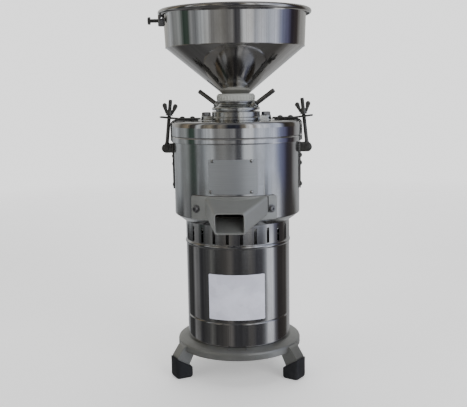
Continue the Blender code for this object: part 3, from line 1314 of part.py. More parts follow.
def make_strap():
    """Clamp strap: forked plate on the cover with a tail over its shoulder."""
    bottom = COVER_TOP_LEVEL + GAP
    seat = bottom + STRAP_TAIL_THICKNESS
    top = seat + STRAP_THICKNESS
    slope = math.tan(math.radians(STRAP_SLOPE))
    rise = (STRAP_REACH - STRAP_BEND_RADIUS) * slope
    upright = rotated(90.0, "X")
    outline = [
        (STRAP_INNER_RADIUS, seat), (STRAP_BEND_RADIUS, seat), (STRAP_REACH, seat + rise),
        (STRAP_REACH, top + rise), (STRAP_BEND_RADIUS, top), (STRAP_INNER_RADIUS, top)]
    strap = flat_plate(outline, STRAP_WIDTH, upright)
    middle = (COVER_RADIUS - COVER_SHOULDER, COVER_TOP_LEVEL - COVER_SHOULDER)
    shoulder = arc(middle, COVER_SHOULDER + GAP, 0.0, 90.0, 3)
    line = [(COVER_RADIUS + GAP, COVER_BOTTOM)] + shoulder + [(STRAP_INNER_RADIUS, bottom)]
    tail = thick_line(line, STRAP_TAIL_THICKNESS * STRAP_WELD_SHARE)
    fuse(strap, flat_plate(tail, STRAP_TAIL_WIDTH, upright))
    cut(strap, box((STRAP_WIDTH, STRAP_SLOT_WIDTH, STRAP_WIDTH),
                   moved(x=STRAP_SLOT_ROOT + STRAP_WIDTH / 2, z=seat + (STRAP_WIDTH - OVERRUN) / 2)))
    for share in STRAP_RIVET_SHARES:
        radius = STRAP_INNER_RADIUS + (STRAP_BEND_RADIUS - STRAP_INNER_RADIUS) * share
        crown = moved(x=radius, z=top)
        fuse(strap, dome(STRAP_RIVET_RADIUS, STRAP_RIVET_HEIGHT, STRAP_THICKNESS / 2, crown))
    return strap


def make_hinge_bracket():
    """Plate riveted to the drum, with two ears for the swing bolt."""
    plate_inner = DRUM_RADIUS + GAP
    outer = plate_inner + HINGE_PLATE_THICKNESS
    top = PIVOT_HEIGHT + HINGE_PLATE_ABOVE_PIVOT
    middle = top - HINGE_PLATE_HEIGHT / 2
    outline = rounded_rectangle(HINGE_PLATE_HEIGHT, HINGE_PLATE_WIDTH, HINGE_PLATE_WIDTH / 6, 2)
    face = moved(x=(plate_inner + outer) / 2, z=middle) @ rotated(90.0, "Y")
    bracket = flat_plate(outline, HINGE_PLATE_THICKNESS, face)
    ear_middle = (BOLT_EYE_THICKNESS + HINGE_EAR_THICKNESS) / 2 + HINGE_SIDE_CLEARANCE
    root = plate_inner + HINGE_PLATE_THICKNESS / 2
    ear = arc((PIVOT_RADIUS, PIVOT_HEIGHT), HINGE_EAR_RADIUS, -90.0, 90.0, 6) + [
        (root, PIVOT_HEIGHT + HINGE_EAR_RADIUS), (root, PIVOT_HEIGHT - HINGE_EAR_RADIUS)]
    for side in (-1, 1):
        cheek = moved(y=side * ear_middle) @ rotated(90.0, "X")
        fuse(bracket, flat_plate(ear, HINGE_EAR_THICKNESS, cheek))
    for drop in HINGE_RIVET_DROPS:
        frame = moved(x=outer, z=PIVOT_HEIGHT - drop) @ rotated(90.0, "Y")
        fuse(bracket, dome(HINGE_RIVET_RADIUS, HINGE_RIVET_HEIGHT, HINGE_PLATE_THICKNESS / 2, frame))
    hole = cylinder(
        HINGE_PIN_RADIUS + GAP, 2 * STRAP_WIDTH,
        moved(x=PIVOT_RADIUS, y=STRAP_WIDTH, z=PIVOT_HEIGHT) @ rotated(90.0, "X"), TINY_ROUND)
    return cut(bracket, hole)


def make_hinge_pin():
    """Headed pin through the ears and the bolt's eye."""
    half = BOLT_EYE_THICKNESS / 2 + HINGE_SIDE_CLEARANCE + HINGE_EAR_THICKNESS + GAP
    end = half + HINGE_PIN_HEAD
    edge = HINGE_PIN_HEAD_RADIUS - HINGE_PIN_HEAD / 2
    pin = turned([
        (0.0, end), (edge, end), (HINGE_PIN_HEAD_RADIUS, half + HINGE_PIN_HEAD / 2),
        (HINGE_PIN_HEAD_RADIUS, half), (HINGE_PIN_RADIUS, half), (HINGE_PIN_RADIUS, -half),
        (HINGE_PIN_HEAD_RADIUS, -half), (HINGE_PIN_HEAD_RADIUS, -half - HINGE_PIN_HEAD / 2),
        (edge, -end), (0.0, -end)], TINY_ROUND)
    pin.matrix_local = moved(x=PIVOT_RADIUS, z=PIVOT_HEIGHT) @ rotated(90.0, "X")
    return pin


def make_swing_bolt():
    """Eye bolt, modelled from its pivot with +Z along the shank."""
    eye = cylinder(
        BOLT_EYE_RADIUS, BOLT_EYE_THICKNESS,
        moved(y=BOLT_EYE_THICKNESS / 2) @ rotated(90.0, "X"), SMALL_ROUND)
    tip = BOLT_THREAD_RADIUS - BOLT_RADIUS
    shank = turned([
        (0.0, BOLT_LENGTH), (BOLT_RADIUS - tip, BOLT_LENGTH),
        (BOLT_THREAD_RADIUS, BOLT_LENGTH - 3 * tip),
        (BOLT_THREAD_RADIUS, BOLT_SHANK_LENGTH), (BOLT_RADIUS, BOLT_SHANK_LENGTH - 2 * tip),
        (BOLT_RADIUS, BOLT_EYE_RADIUS / 2), (0.0, BOLT_EYE_RADIUS / 2)], TINY_ROUND)
    fuse(eye, shank)
    hole = cylinder(
        HINGE_PIN_RADIUS + GAP, 2 * BOLT_EYE_THICKNESS,
        moved(y=BOLT_EYE_THICKNESS) @ rotated(90.0, "X"), TINY_ROUND)
    return cut(eye, hole)


def make_washer():
    """Plain washer under the wing nut."""
    bore = BOLT_THREAD_RADIUS + GAP
    bottom = NUT_SEAT_HEIGHT
    return turned([
        (WASHER_RADIUS, bottom + WASHER_THICKNESS), (WASHER_RADIUS, bottom),
        (bore, bottom), (bore, bottom + WASHER_THICKNESS)], SMALL_ROUND)


def make_wing_nut():
    """Conical boss with two spreading wings."""
    bottom = NUT_SEAT_HEIGHT + WASHER_THICKNESS + GAP
    bore = BOLT_THREAD_RADIUS + GAP
    nut = turned([
        (bore, bottom + NUT_BOSS_HEIGHT), (NUT_BOSS_TOP_RADIUS, bottom + NUT_BOSS_HEIGHT),
        (NUT_BOSS_RADIUS, bottom + NUT_BOSS_HEIGHT * NUT_BOSS_SHARE),
        (NUT_BOSS_RADIUS, bottom), (bore, bottom)], SMALL_ROUND)
    for side in (0.0, 180.0):
        centre = (WING_LOBE_REACH, bottom + WING_LOBE_HEIGHT)
        lobe = arc(centre, WING_LOBE_RADIUS, WING_LOBE_START, WING_LOBE_END, 8)
        root = [(NUT_BOSS_TOP_RADIUS - WING_THICKNESS / 4, bottom + NUT_BOSS_HEIGHT),
                (NUT_BOSS_TOP_RADIUS - WING_THICKNESS / 4, bottom + WING_THICKNESS / 2),
                (NUT_BOSS_RADIUS + WING_THICKNESS / 4, bottom + WING_THICKNESS / 2)]
        outline = lobe + root
        upright = rotated(side) @ rotated(90.0, "X")
        fuse(nut, flat_plate(outline, WING_THICKNESS, upright))
    return nut


def make_clamps():
    """Both clamps: the same pieces on the right and turned to the left."""
    for name, turn in (("right", 0.0), ("left", 180.0)):
        side = axis_empty("clamp_" + name, rotated(turn))
        hinge = moved(x=PIVOT_RADIUS, z=PIVOT_HEIGHT) @ rotated(-BOLT_LEAN, "Y")
        pivot = axis_empty("bolt_axis_" + name, hinge, side)
        strap = place(make_strap(), "cover_strap_" + name, DARK_STEEL)
        bracket = place(make_hinge_bracket(), "hinge_bracket_" + name, DARK_STEEL)
        pin = place(make_hinge_pin(), "hinge_pin_" + name, DARK_STEEL)
        carried(side, strap, bracket, pin)
        bolt = place(make_swing_bolt(), "swing_bolt_" + name, DARK_STEEL)
        washer = place(make_washer(), "washer_" + name, PLAIN_STEEL)
        nut = place(make_wing_nut(), "wing_nut_" + name, DARK_STEEL)
        carried(pivot, bolt, washer, nut)
        for piece in (strap, bracket, bolt, nut):
            for modifier in piece.modifiers:
                if modifier.type == "BOOLEAN" and modifier.object.parent is None:
                    modifier.object.parent = piece.parent


def make_switch(rocker_axis):
    """Rocker switch body in the casing and its tilting rocker."""
    height = CASING_BOTTOM + CASING_HEIGHT * SWITCH_RISE_SHARE
    bezel_inner = CASING_RADIUS + GAP
    bezel_outer = bezel_inner + SWITCH_BEZEL
    body = box((SWITCH_WIDTH, SWITCH_DEPTH, SWITCH_HEIGHT),
               moved(y=bezel_outer - SWITCH_DEPTH / 2, z=height))
    margin = 2 * SWITCH_BEZEL_MARGIN
    fuse(body, box((SWITCH_WIDTH + margin, SWITCH_BEZEL, SWITCH_HEIGHT + margin),
                   moved(y=bezel_inner + SWITCH_BEZEL / 2, z=height)))
    well_depth = ROCKER_DEPTH + 2 * SWITCH_WALL
    well = (SWITCH_WIDTH - 2 * SWITCH_WALL, 2 * well_depth, SWITCH_HEIGHT - 2 * SWITCH_WALL)
    cut(body, box(well, moved(y=bezel_outer, z=height)))
    place(body, "switch_housing", BLACK_PLASTIC)
    half = (SWITCH_HEIGHT - 2 * SWITCH_WALL) / 2 - ROCKER_CLEARANCE
    outline = [(-half, -ROCKER_DEPTH / 4), (half, -ROCKER_DEPTH / 4), (half, ROCKER_DEPTH / 2),
               (0.0, ROCKER_DEPTH / 4), (-half, ROCKER_DEPTH / 2)]
    width = SWITCH_WIDTH - 2 * SWITCH_WALL - ROCKER_CLEARANCE
    outwards = rotated(90.0, "Y") @ rotated(180.0, "Z") @ rotated(180.0, "X")
    rocker = flat_plate(outline, width, outwards)
    place(rocker, "switch_rocker", BLACK_PLASTIC)
    carried(rocker_axis, rocker)


def rocker_frame():
    """Pivot of the rocker: just inside the bezel, tilted to the off side."""
    height = CASING_BOTTOM + CASING_HEIGHT * SWITCH_RISE_SHARE
    reach = CASING_RADIUS + SWITCH_BEZEL - ROCKER_DEPTH / 4
    return moved(y=reach, z=height) @ rotated(ROCKER_TILT, "X")


def make_gland():
    """Cable gland low on the back of the casing, left empty."""
    frame = moved(z=CASING_BOTTOM + GLAND_RISE) @ rotated(-90.0, "X")
    face = CASING_RADIUS + GAP
    gland = hexagon(GLAND_FLATS, GLAND_HEAD, frame @ moved(z=face))
    tail = frame @ moved(z=face - GLAND_TAIL)
    fuse(gland, cylinder(GLAND_THREAD_RADIUS, GLAND_TAIL + OVERRUN, tail, TINY_ROUND))
    crown = frame @ moved(z=face + GLAND_HEAD - OVERRUN)
    fuse(gland, cylinder(GLAND_DOME_RADIUS, GLAND_DOME + OVERRUN, crown, TINY_ROUND,
                         GLAND_DOME_RADIUS * GLAND_TIP_SHARE))
    bore = frame @ moved(z=face - 2 * GLAND_TAIL)
    cut(gland, cylinder(GLAND_BORE, 2 * CASING_RADIUS, bore, TINY_ROUND))
    place(gland, "cable_gland", BLACK_PLASTIC)


def main():
    """Model every piece of the grinder."""
    make_base_casting()
    make_feet()
    make_motor_casing()
    make_stator()
    make_motor_shields()
    make_bearings()
    make_rotor(axis_empty("rotor_axis", Matrix.Identity(4)))
    make_capacitor()
    make_drum()
    make_bowl()
    make_chute()
    make_chute_gasket()
    make_chute_screws()
    make_plates()
    make_cover()
    make_hub()
    sleeve_axis = axis_empty("sleeve_axis", Matrix.Identity(4))
    make_adjuster(sleeve_axis, axis_empty("collar_axis", Matrix.Identity(4), sleeve_axis))
    hopper_axis = axis_empty("hopper_axis", Matrix.Identity(4), sleeve_axis)
    make_hopper(hopper_axis)
    make_ring_nut(axis_empty("ring_nut_axis", Matrix.Identity(4), hopper_axis))
    make_clamps()
    make_switch(axis_empty("rocker_axis", rocker_frame()))
    make_gland()


for old in list(bpy.data.objects):
    bpy.data.objects.remove(old)
parts = bpy.data.collections.new("Nut butter grinder")
cutters = bpy.data.collections.new("Cutters")
for group in (parts, cutters):
    bpy.context.scene.collection.children.link(group)
main()
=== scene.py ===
"""Finished look of the nut butter grinder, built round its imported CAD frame."""

import math

import bmesh
import bpy
from mathutils import Matrix, Vector


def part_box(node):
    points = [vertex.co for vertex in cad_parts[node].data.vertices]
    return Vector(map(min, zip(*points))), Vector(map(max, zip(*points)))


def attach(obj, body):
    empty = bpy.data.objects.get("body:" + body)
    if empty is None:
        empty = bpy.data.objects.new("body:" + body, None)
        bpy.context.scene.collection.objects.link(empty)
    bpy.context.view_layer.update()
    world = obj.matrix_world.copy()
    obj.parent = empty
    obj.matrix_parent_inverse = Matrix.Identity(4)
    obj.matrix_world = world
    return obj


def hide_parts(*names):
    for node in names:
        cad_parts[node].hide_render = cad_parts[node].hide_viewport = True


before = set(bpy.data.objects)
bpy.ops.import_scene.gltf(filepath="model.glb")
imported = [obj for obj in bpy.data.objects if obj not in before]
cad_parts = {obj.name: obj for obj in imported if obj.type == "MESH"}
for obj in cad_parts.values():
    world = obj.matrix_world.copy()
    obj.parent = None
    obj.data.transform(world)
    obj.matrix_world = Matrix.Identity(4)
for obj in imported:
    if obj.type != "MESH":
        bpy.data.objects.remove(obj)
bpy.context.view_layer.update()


# Frame readings. Levels and radii come from the CAD nodes that a piece stands for.

def low(node):
    """Lowest Z of a CAD node."""
    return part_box(node)[0][2]


def high(node):
    """Highest Z of a CAD node."""
    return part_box(node)[1][2]


def half_width(node):
    """Half of a CAD node's width along X, the radius of a turned one."""
    near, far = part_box(node)
    return (far[0] - near[0]) / 2


def middle(node):
    """Height of a CAD node's middle."""
    return (low(node) + high(node)) / 2


# Steps round a large and a small turned piece.
FINE_ROUND = 192
SMALL_ROUND = 48

# Wall thicknesses, small edges and the gap between seated pieces, in metres.
GAP = 0.0003
SHEET = 0.0012
EDGE = 0.0006
CASING_WALL = 0.0025
DRUM_WALL = 0.002
COVER_WALL = 0.002

# Levels of the main pieces.
RIM_BOTTOM = 0.053
RIM_TOP = 0.0695
CASING_BOTTOM = low("motor_casing")
DECK = CASING_BOTTOM - GAP
CASING_TOP = high("motor_casing")
DRUM_BOTTOM = low("grinding_drum")
DRUM_TOP = high("grinding_drum")
DRUM_CORNER = low("spout_gasket")
COVER_BOTTOM = low("chamber_cover")
COVER_TOP = high("chamber_cover")
HUB_TOP = high("cover_hub")
COLLAR_TOP = high("adjusting_collar")
COLLAR_FOOT = COLLAR_TOP - 0.0155
RING_BOTTOM = low("ring_nut")
RING_TOP = high("ring_nut")
HOPPER_BOTTOM = low("hopper")
HOPPER_TOP = high("hopper")

# Radii of the main pieces.
BASE_RADIUS = 0.1265
CASING_RADIUS = 0.1055
DRUM_RADIUS = half_width("grinding_drum")
COVER_RADIUS = half_width("chamber_cover")
COLLAR_RADIUS = half_width("adjusting_collar")
RING_RADIUS = half_width("ring_nut")
RIM_RADIUS = half_width("hopper")
BELT_RADIUS = 0.138
BELT_TOP_RADIUS = 0.1404
NECK_RADIUS = 0.0256
OUTLET_RADIUS = 0.028
OUTLET = RING_TOP + 0.0006
BELT_BOTTOM = OUTLET + 0.0905
LIP_BOTTOM = HOPPER_TOP - 0.0105

# Air slots in the casing.
SLOT_COUNT = 24
SLOT_WIDTH = 0.006
SLOT_TOP = CASING_TOP - 0.0065
SLOT_HEIGHT = 0.030
BEAD_LEVEL = CASING_TOP - 0.043
GROOVE_LEVEL = CASING_BOTTOM + 0.0475

# Clamps, hub and collar rods. Angles are in degrees, sides are turned from +X.
PIVOT = Vector((0.1425, 0.0, COVER_BOTTOM - 0.0137))
BOLT_LEAN = 6.1
SIDES = (("right", 0.0), ("left", 180.0))
HUB_EAR_REACH = 0.060
ROD_SIDES = (("right", -22.0), ("left", 158.0))
ROD_RISE = 34.0
ROD_ROOT = 0.0362
ROD_TIP = 0.083
BRACKET_SIDE = 184.0
BOLT_PITCH = 0.00125
COLLAR_PITCH = 0.003

# Legs with their boots, turned from +X.
LEG_SIDES = (("right", -30.0), ("left", -150.0), ("rear", 90.0))

# Spout: width, height, lowest level, reach and shift to the side, each at the root and at the mouth.
SPOUT_FORM = (
    (0.120, 0.057),
    (high("spout_gasket") - 0.009 - DRUM_CORNER, 0.0405),
    (DRUM_CORNER + 0.009, DRUM_CORNER - 0.0195),
    (DRUM_RADIUS * 0.93, 0.168),
    (0.0058, -0.0045),
)
SPOUT_WALL = 0.003
FLANGE_HALF = 38.8
SPOUT_SCREWS = (("left", -33.0), ("right", 33.0))


def turn(angle, axis="Z"):
    """Rotation by an angle in degrees."""
    return Matrix.Rotation(math.radians(angle), 4, axis)


def shift(x=0.0, y=0.0, z=0.0):
    """Translation."""
    return Matrix.Translation((x, y, z))


# Node groups shared by the materials.

def new_group(name, inputs):
    """Shader node group with its named inputs and the three things a surface needs."""
    group = bpy.data.node_groups.new(name, "ShaderNodeTree")
    for label, kind, value in inputs:
        socket = group.interface.new_socket(label, in_out="INPUT", socket_type=kind)
        socket.default_value = value
    for label, kind in (("Colour", "NodeSocketColor"), ("Roughness", "NodeSocketFloat"),
                        ("Normal", "NodeSocketVector")):
        group.interface.new_socket(label, in_out="OUTPUT", socket_type=kind)
    return group


def ends(tree):
    """Sockets to read from and sockets to fill in a node group."""
    return tree.nodes.new("NodeGroupInput").outputs, tree.nodes.new("NodeGroupOutput").inputs


def add(tree, kind, **values):
    """Add a node and set its properties, or its inputs by name."""
    node = tree.nodes.new(kind)
    for key, value in values.items():
        if hasattr(node, key):
            setattr(node, key, value)
        else:
            node.inputs[key.replace("_", " ").title()].default_value = value
    return node


def wire(tree, *pairs):
    """Link pairs of output and input sockets."""
    for source, target in pairs:
        tree.links.new(source, target)


def feed(tree, value, socket):
    """Link a socket to another, or set it to a plain value."""
    if isinstance(value, bpy.types.NodeSocket):
        tree.links.new(value, socket)
    else:
        socket.default_value = value


def product(tree, first, second):
    """One value times another."""
    node = add(tree, "ShaderNodeMath", operation="MULTIPLY")
    feed(tree, first, node.inputs[0])
    feed(tree, second, node.inputs[1])
    return node.outputs[0]


def noise(tree, vector, scale, detail=3.0, roughness=0.5):
    """Noise texture on a vector, returning its factor socket."""
    node = add(tree, "ShaderNodeTexNoise", detail=detail, roughness=roughness)
    feed(tree, scale, node.inputs["Scale"])
    feed(tree, vector, node.inputs["Vector"])
    return node.outputs["Fac"]


def stretched(tree, vector, scale):
    """Vector scaled by a Mapping node."""
    node = tree.nodes.new("ShaderNodeMapping")
    node.inputs["Scale"].default_value = scale
    tree.links.new(vector, node.inputs["Vector"])
    return node.outputs["Vector"]


def remap(tree, value, low_in, high_in, low_out, high_out):
    """Map Range on a value, its output limits may be sockets."""
    node = tree.nodes.new("ShaderNodeMapRange")
    feed(tree, value, node.inputs["Value"])
    limits = {"From Min": low_in, "From Max": high_in, "To Min": low_out, "To Max": high_out}
    for label, limit in limits.items():
        feed(tree, limit, node.inputs[label])
    return node.outputs["Result"]


def blend_colour(tree, factor, first, second, mode="MIX"):
    """Mix two colours, each a socket or a plain colour."""
    node = tree.nodes.new("ShaderNodeMix")
    node.data_type = "RGBA"
    node.blend_type = mode
    for place, value in ((0, factor), (6, first), (7, second)):
        feed(tree, value, node.inputs[place])
    return node.outputs[2]


def bump(tree, height, strength, distance, normal=None):
    """Bump node, returning its normal."""
    node = tree.nodes.new("ShaderNodeBump")
    feed(tree, strength, node.inputs["Strength"])
    feed(tree, distance, node.inputs["Distance"])
    feed(tree, height, node.inputs["Height"])
    if normal:
        feed(tree, normal, node.inputs["Normal"])
    return node.outputs["Normal"]


def make_polish_group():
    """Polished sheet steel: handling smears, a slow wave, fine marks round the axis."""
    group = new_group("Polished sheet", [
        ("Colour", "NodeSocketColor", (0.6, 0.6, 0.6, 1)),
        ("Smear Colour", "NodeSocketColor", (0.5, 0.49, 0.46, 1)),
        ("Roughness Low", "NodeSocketFloat", 0.06),
        ("Roughness High", "NodeSocketFloat", 0.16),
        ("Wave", "NodeSocketFloat", 0.1),
        ("Marks", "NodeSocketFloat", 0.1),
    ])
    source, result = ends(group)
    place = group.nodes.new("ShaderNodeTexCoord").outputs["Object"]
    smear = noise(group, stretched(group, place, (1, 1, 0.45)), 14.0, 5.0, 0.62)
    smear = remap(group, smear, 0.42, 0.72, 0.0, 1.0)
    marks = noise(group, stretched(group, place, (3, 3, 900)), 1.0, 2.0)
    fine = noise(group, stretched(group, place, (6, 6, 2600)), 1.0, 1.0)
    wave = noise(group, stretched(group, place, (1, 1, 0.35)), 11.0, 1.0, 0.3)
    normal = bump(group, wave, source["Wave"], 0.003)
    normal = bump(group, marks, source["Marks"], 0.0002, normal)
    colour = blend_colour(group, smear, source["Colour"], source["Smear Colour"])
    rough = remap(group, smear, 0.0, 1.0, source["Roughness Low"], source["Roughness High"])
    grain = remap(group, fine, 0.3, 0.7, 0.85, 1.15)
    wire(group, (product(group, rough, grain), result["Roughness"]), (colour, result["Colour"]),
         (normal, result["Normal"]))
    return group


def make_cast_group():
    """Cast or moulded surface: mottled tone, pores and soft waviness."""
    group = new_group("Cast skin", [
        ("Colour", "NodeSocketColor", (0.4, 0.4, 0.4, 1)),
        ("Stain", "NodeSocketColor", (0.25, 0.25, 0.23, 1)),
        ("Stain Amount", "NodeSocketFloat", 0.5),
        ("Roughness", "NodeSocketFloat", 0.4),
        ("Grain Scale", "NodeSocketFloat", 900.0),
        ("Grain", "NodeSocketFloat", 0.2),
    ])
    source, result = ends(group)
    place = group.nodes.new("ShaderNodeTexCoord").outputs["Object"]
    patches = noise(group, place, 22.0, 6.0, 0.6)
    patches = remap(group, patches, 0.45, 0.75, 0.0, source["Stain Amount"])
    grain = noise(group, place, source["Grain Scale"])
    speck = remap(group, grain, 0.3, 0.7, 0.86, 1.1)
    colour = blend_colour(group, patches, source["Colour"], source["Stain"])
    colour = blend_colour(group, 1.0, colour, speck, "MULTIPLY")
    normal = bump(group, noise(group, place, 60.0, 2.0), 0.12, 0.0015)
    normal = bump(group, grain, source["Grain"], 0.0003, normal)
    wire(group, (colour, result["Colour"]), (normal, result["Normal"]),
         (product(group, source["Roughness"], speck), result["Roughness"]))
    return group


def make_lines_group():
    """Straight machining or rolling lines along one axis of the piece."""
    group = new_group("Drawn lines", [
        ("Colour", "NodeSocketColor", (0.5, 0.5, 0.5, 1)),
        ("Dark", "NodeSocketColor", (0.3, 0.3, 0.3, 1)),
        ("Roughness", "NodeSocketFloat", 0.35),
        ("Stretch", "NodeSocketVector", (20.0, 900.0, 900.0)),
        ("Depth", "NodeSocketFloat", 0.2),
    ])
    source, result = ends(group)
    place = group.nodes.new("ShaderNodeTexCoord").outputs["Object"]
    scaled = add(group, "ShaderNodeVectorMath", operation="MULTIPLY")
    wire(group, (place, scaled.inputs[0]), (source["Stretch"], scaled.inputs[1]))
    lines = noise(group, scaled.outputs[0], 1.0, 3.0, 0.6)
    colour = blend_colour(group, remap(group, lines, 0.35, 0.7, 0.0, 1.0), source["Colour"], source["Dark"])
    rough = product(group, source["Roughness"], remap(group, lines, 0.3, 0.7, 0.8, 1.2))
    wire(group, (rough, result["Roughness"]), (colour, result["Colour"]),
         (bump(group, lines, source["Depth"], 0.0002), result["Normal"]))
    return group


POLISH = make_polish_group()
CAST = make_cast_group()
LINES = make_lines_group()


def material(name, group, metallic, **inputs):
    """Principled material driven by one of the shared groups."""
    made = bpy.data.materials.new(name)
    made.use_nodes = True
    tree = made.node_tree
    shader = tree.nodes["Principled BSDF"]
    shader.inputs["Metallic"].default_value = metallic
    node = tree.nodes.new("ShaderNodeGroup")
    node.node_tree = group
    for key, value in inputs.items():
        label = key.replace("_", " ").title()
        is_colour = "colour" in key or key in ("stain", "dark")
        node.inputs[label].default_value = (*value, 1.0) if is_colour else value
    wire(tree, (node.outputs["Colour"], shader.inputs["Base Color"]),
         (node.outputs["Roughness"], shader.inputs["Roughness"]),
         (node.outputs["Normal"], shader.inputs["Normal"]))
    return made


HOPPER_STEEL = material("Hopper mirror steel", POLISH, 1.0, colour=(0.62, 0.61, 0.6),
                        smear_colour=(0.5, 0.48, 0.45), roughness_low=0.05, roughness_high=0.14, wave=0.05,
                        marks=0.05)
COVER_STEEL = material("Cover mirror steel", POLISH, 1.0, colour=(0.66, 0.66, 0.67),
                       smear_colour=(0.56, 0.56, 0.55), roughness_low=0.07, roughness_high=0.17, wave=0.05,
                       marks=0.08)
DRUM_STEEL = material("Drum polished steel", POLISH, 1.0, colour=(0.6, 0.61, 0.62),
                      smear_colour=(0.48, 0.48, 0.47), roughness_low=0.15, roughness_high=0.26, wave=0.04,
                      marks=0.12)
CASING_STEEL = material("Casing polished steel", POLISH, 1.0, colour=(0.55, 0.55, 0.56),
                        smear_colour=(0.42, 0.41, 0.4), roughness_low=0.07, roughness_high=0.18, wave=0.09,
                        marks=0.06)
BRIGHT_CASTING = material("Bright casting", CAST, 1.0, colour=(0.62, 0.63, 0.62), stain=(0.4, 0.4, 0.38),
                          stain_amount=0.6, roughness=0.2, grain_scale=420.0, grain=0.12)
GREY_CASTING = material("Grey casting", CAST, 0.8, colour=(0.34, 0.345, 0.335), stain=(0.25, 0.25, 0.235),
                        stain_amount=0.5, roughness=0.4, grain_scale=1400.0, grain=0.1)
SPOUT_CASTING = material("Spout casting", CAST, 0.7, colour=(0.4, 0.41, 0.4), stain=(0.31, 0.315, 0.3),
                         stain_amount=0.5, roughness=0.42, grain_scale=1500.0, grain=0.1)
DARK_STEEL = material("Dark worn steel", CAST, 0.8, colour=(0.13, 0.13, 0.125), stain=(0.24, 0.24, 0.23),
                      stain_amount=0.7, roughness=0.4, grain_scale=1100.0, grain=0.2)
ROD_STEEL = material("Rod steel", LINES, 1.0, colour=(0.34, 0.34, 0.335), dark=(0.2, 0.2, 0.195),
                     roughness=0.32, stretch=(90.0, 90.0, 90.0), depth=0.1)
SCREW_STEEL = material("Screw steel", CAST, 0.95, colour=(0.34, 0.34, 0.35), stain=(0.2, 0.2, 0.2),
                       stain_amount=0.5, roughness=0.3, grain_scale=900.0, grain=0.1)
TURNED_STEEL = material("Turned steel", LINES, 1.0, colour=(0.5, 0.5, 0.51), dark=(0.36, 0.36, 0.37),
                        roughness=0.3, stretch=(8.0, 8.0, 1500.0), depth=0.2)
PLATE_ALUMINIUM = material("Nameplate aluminium", LINES, 0.75, colour=(0.47, 0.49, 0.51),
                           dark=(0.4, 0.42, 0.44), roughness=0.36, stretch=(14.0, 14.0, 1800.0), depth=0.08)
RING_PLASTIC = material("Ring plastic", CAST, 0.0, colour=(0.5, 0.51, 0.48), stain=(0.41, 0.42, 0.39),
                        stain_amount=0.6, roughness=0.42, grain_scale=700.0, grain=0.08)
BLACK_RUBBER = material("Black rubber", CAST, 0.0, colour=(0.012, 0.013, 0.016),
                        stain=(0.035, 0.035, 0.037), stain_amount=0.6, roughness=0.5, grain_scale=900.0,
                        grain=0.2)
SEAL_RUBBER = material("Seal rubber", CAST, 0.0, colour=(0.05, 0.03, 0.02), stain=(0.09, 0.06, 0.04),
                       stain_amount=0.5, roughness=0.6, grain_scale=900.0, grain=0.2)
BLACK_PLASTIC = material("Black plastic", CAST, 0.0, colour=(0.018, 0.018, 0.018), stain=(0.03, 0.03, 0.03),
                         stain_amount=0.4, roughness=0.4, grain_scale=2000.0, grain=0.15)
LABEL_FILM = material("Label film", CAST, 0.0, colour=(0.66, 0.67, 0.78), stain=(0.6, 0.62, 0.74),
                      stain_amount=0.3, roughness=0.28, grain_scale=24.0, grain=0.004)
DISC_STONE = material("Disc stone", CAST, 0.0, colour=(0.3, 0.29, 0.27), stain=(0.16, 0.155, 0.15),
                      stain_amount=0.8, roughness=0.85, grain_scale=1600.0, grain=0.8)
COPPER_WIRE = material("Copper wire", LINES, 0.85, colour=(0.5, 0.21, 0.09), dark=(0.28, 0.1, 0.04),
                       roughness=0.35, stretch=(40.0, 40.0, 1400.0), depth=0.6)
LAMINATIONS = material("Laminations", LINES, 0.8, colour=(0.2, 0.2, 0.2), dark=(0.08, 0.08, 0.08),
                       roughness=0.5, stretch=(4.0, 4.0, 2200.0), depth=0.5)
CAN_ALUMINIUM = material("Can aluminium", LINES, 1.0, colour=(0.6, 0.6, 0.6), dark=(0.48, 0.48, 0.48),
                         roughness=0.35, stretch=(900.0, 900.0, 12.0), depth=0.15)


# Mesh making.

def linked(name, data):
    """Object of some data, placed in the scene."""
    obj = bpy.data.objects.new(name, data)
    bpy.context.scene.collection.objects.link(obj)
    return obj


def as_object(build, name):
    """Object from a function that fills a bmesh."""
    shape = bmesh.new()
    build(shape)
    bmesh.ops.recalc_face_normals(shape, faces=shape.faces)
    mesh = bpy.data.meshes.new(name)
    shape.to_mesh(mesh)
    shape.free()
    return linked(name, mesh)


def baked(obj):
    """Turn an object's modifiers and place into plain mesh at the origin."""
    bpy.context.view_layer.update()
    graph = bpy.context.evaluated_depsgraph_get()
    mesh = bpy.data.meshes.new_from_object(obj.evaluated_get(graph))
    mesh.transform(obj.matrix_world)
    name = obj.name
    bpy.data.objects.remove(obj)
    return linked(name, mesh)


def finished(obj, look, body, slot, *nodes, smooth=35.0):
    """Give a piece its material and its body, and hide the CAD nodes that it stands for."""
    obj.data.materials.clear()
    obj.data.materials.append(look)
    obj.data.shade_smooth()
    obj.data.set_sharp_from_angle(angle=math.radians(smooth))
    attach(obj, body)
    if nodes:
        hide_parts(*nodes)
    return obj


def cut(obj, *tools, operation="DIFFERENCE"):
    """Boolean with each tool, then forget the tools."""
    for tool in tools:
        modifier = obj.modifiers.new("Cut", "BOOLEAN")
        modifier.operation = operation
        modifier.solver = "EXACT"
        modifier.object = tool
    made = baked(obj)
    for tool in tools:
        bpy.data.objects.remove(tool)
    return made


def joined(name, *pieces):
    """One mesh object that holds several pieces' shapes."""
    shape = bmesh.new()
    for obj in pieces:
        obj.data.transform(obj.matrix_world)
        shape.from_mesh(obj.data)
    mesh = bpy.data.meshes.new(name)
    shape.to_mesh(mesh)
    shape.free()
    for obj in pieces:
        bpy.data.objects.remove(obj)
    return linked(name, mesh)


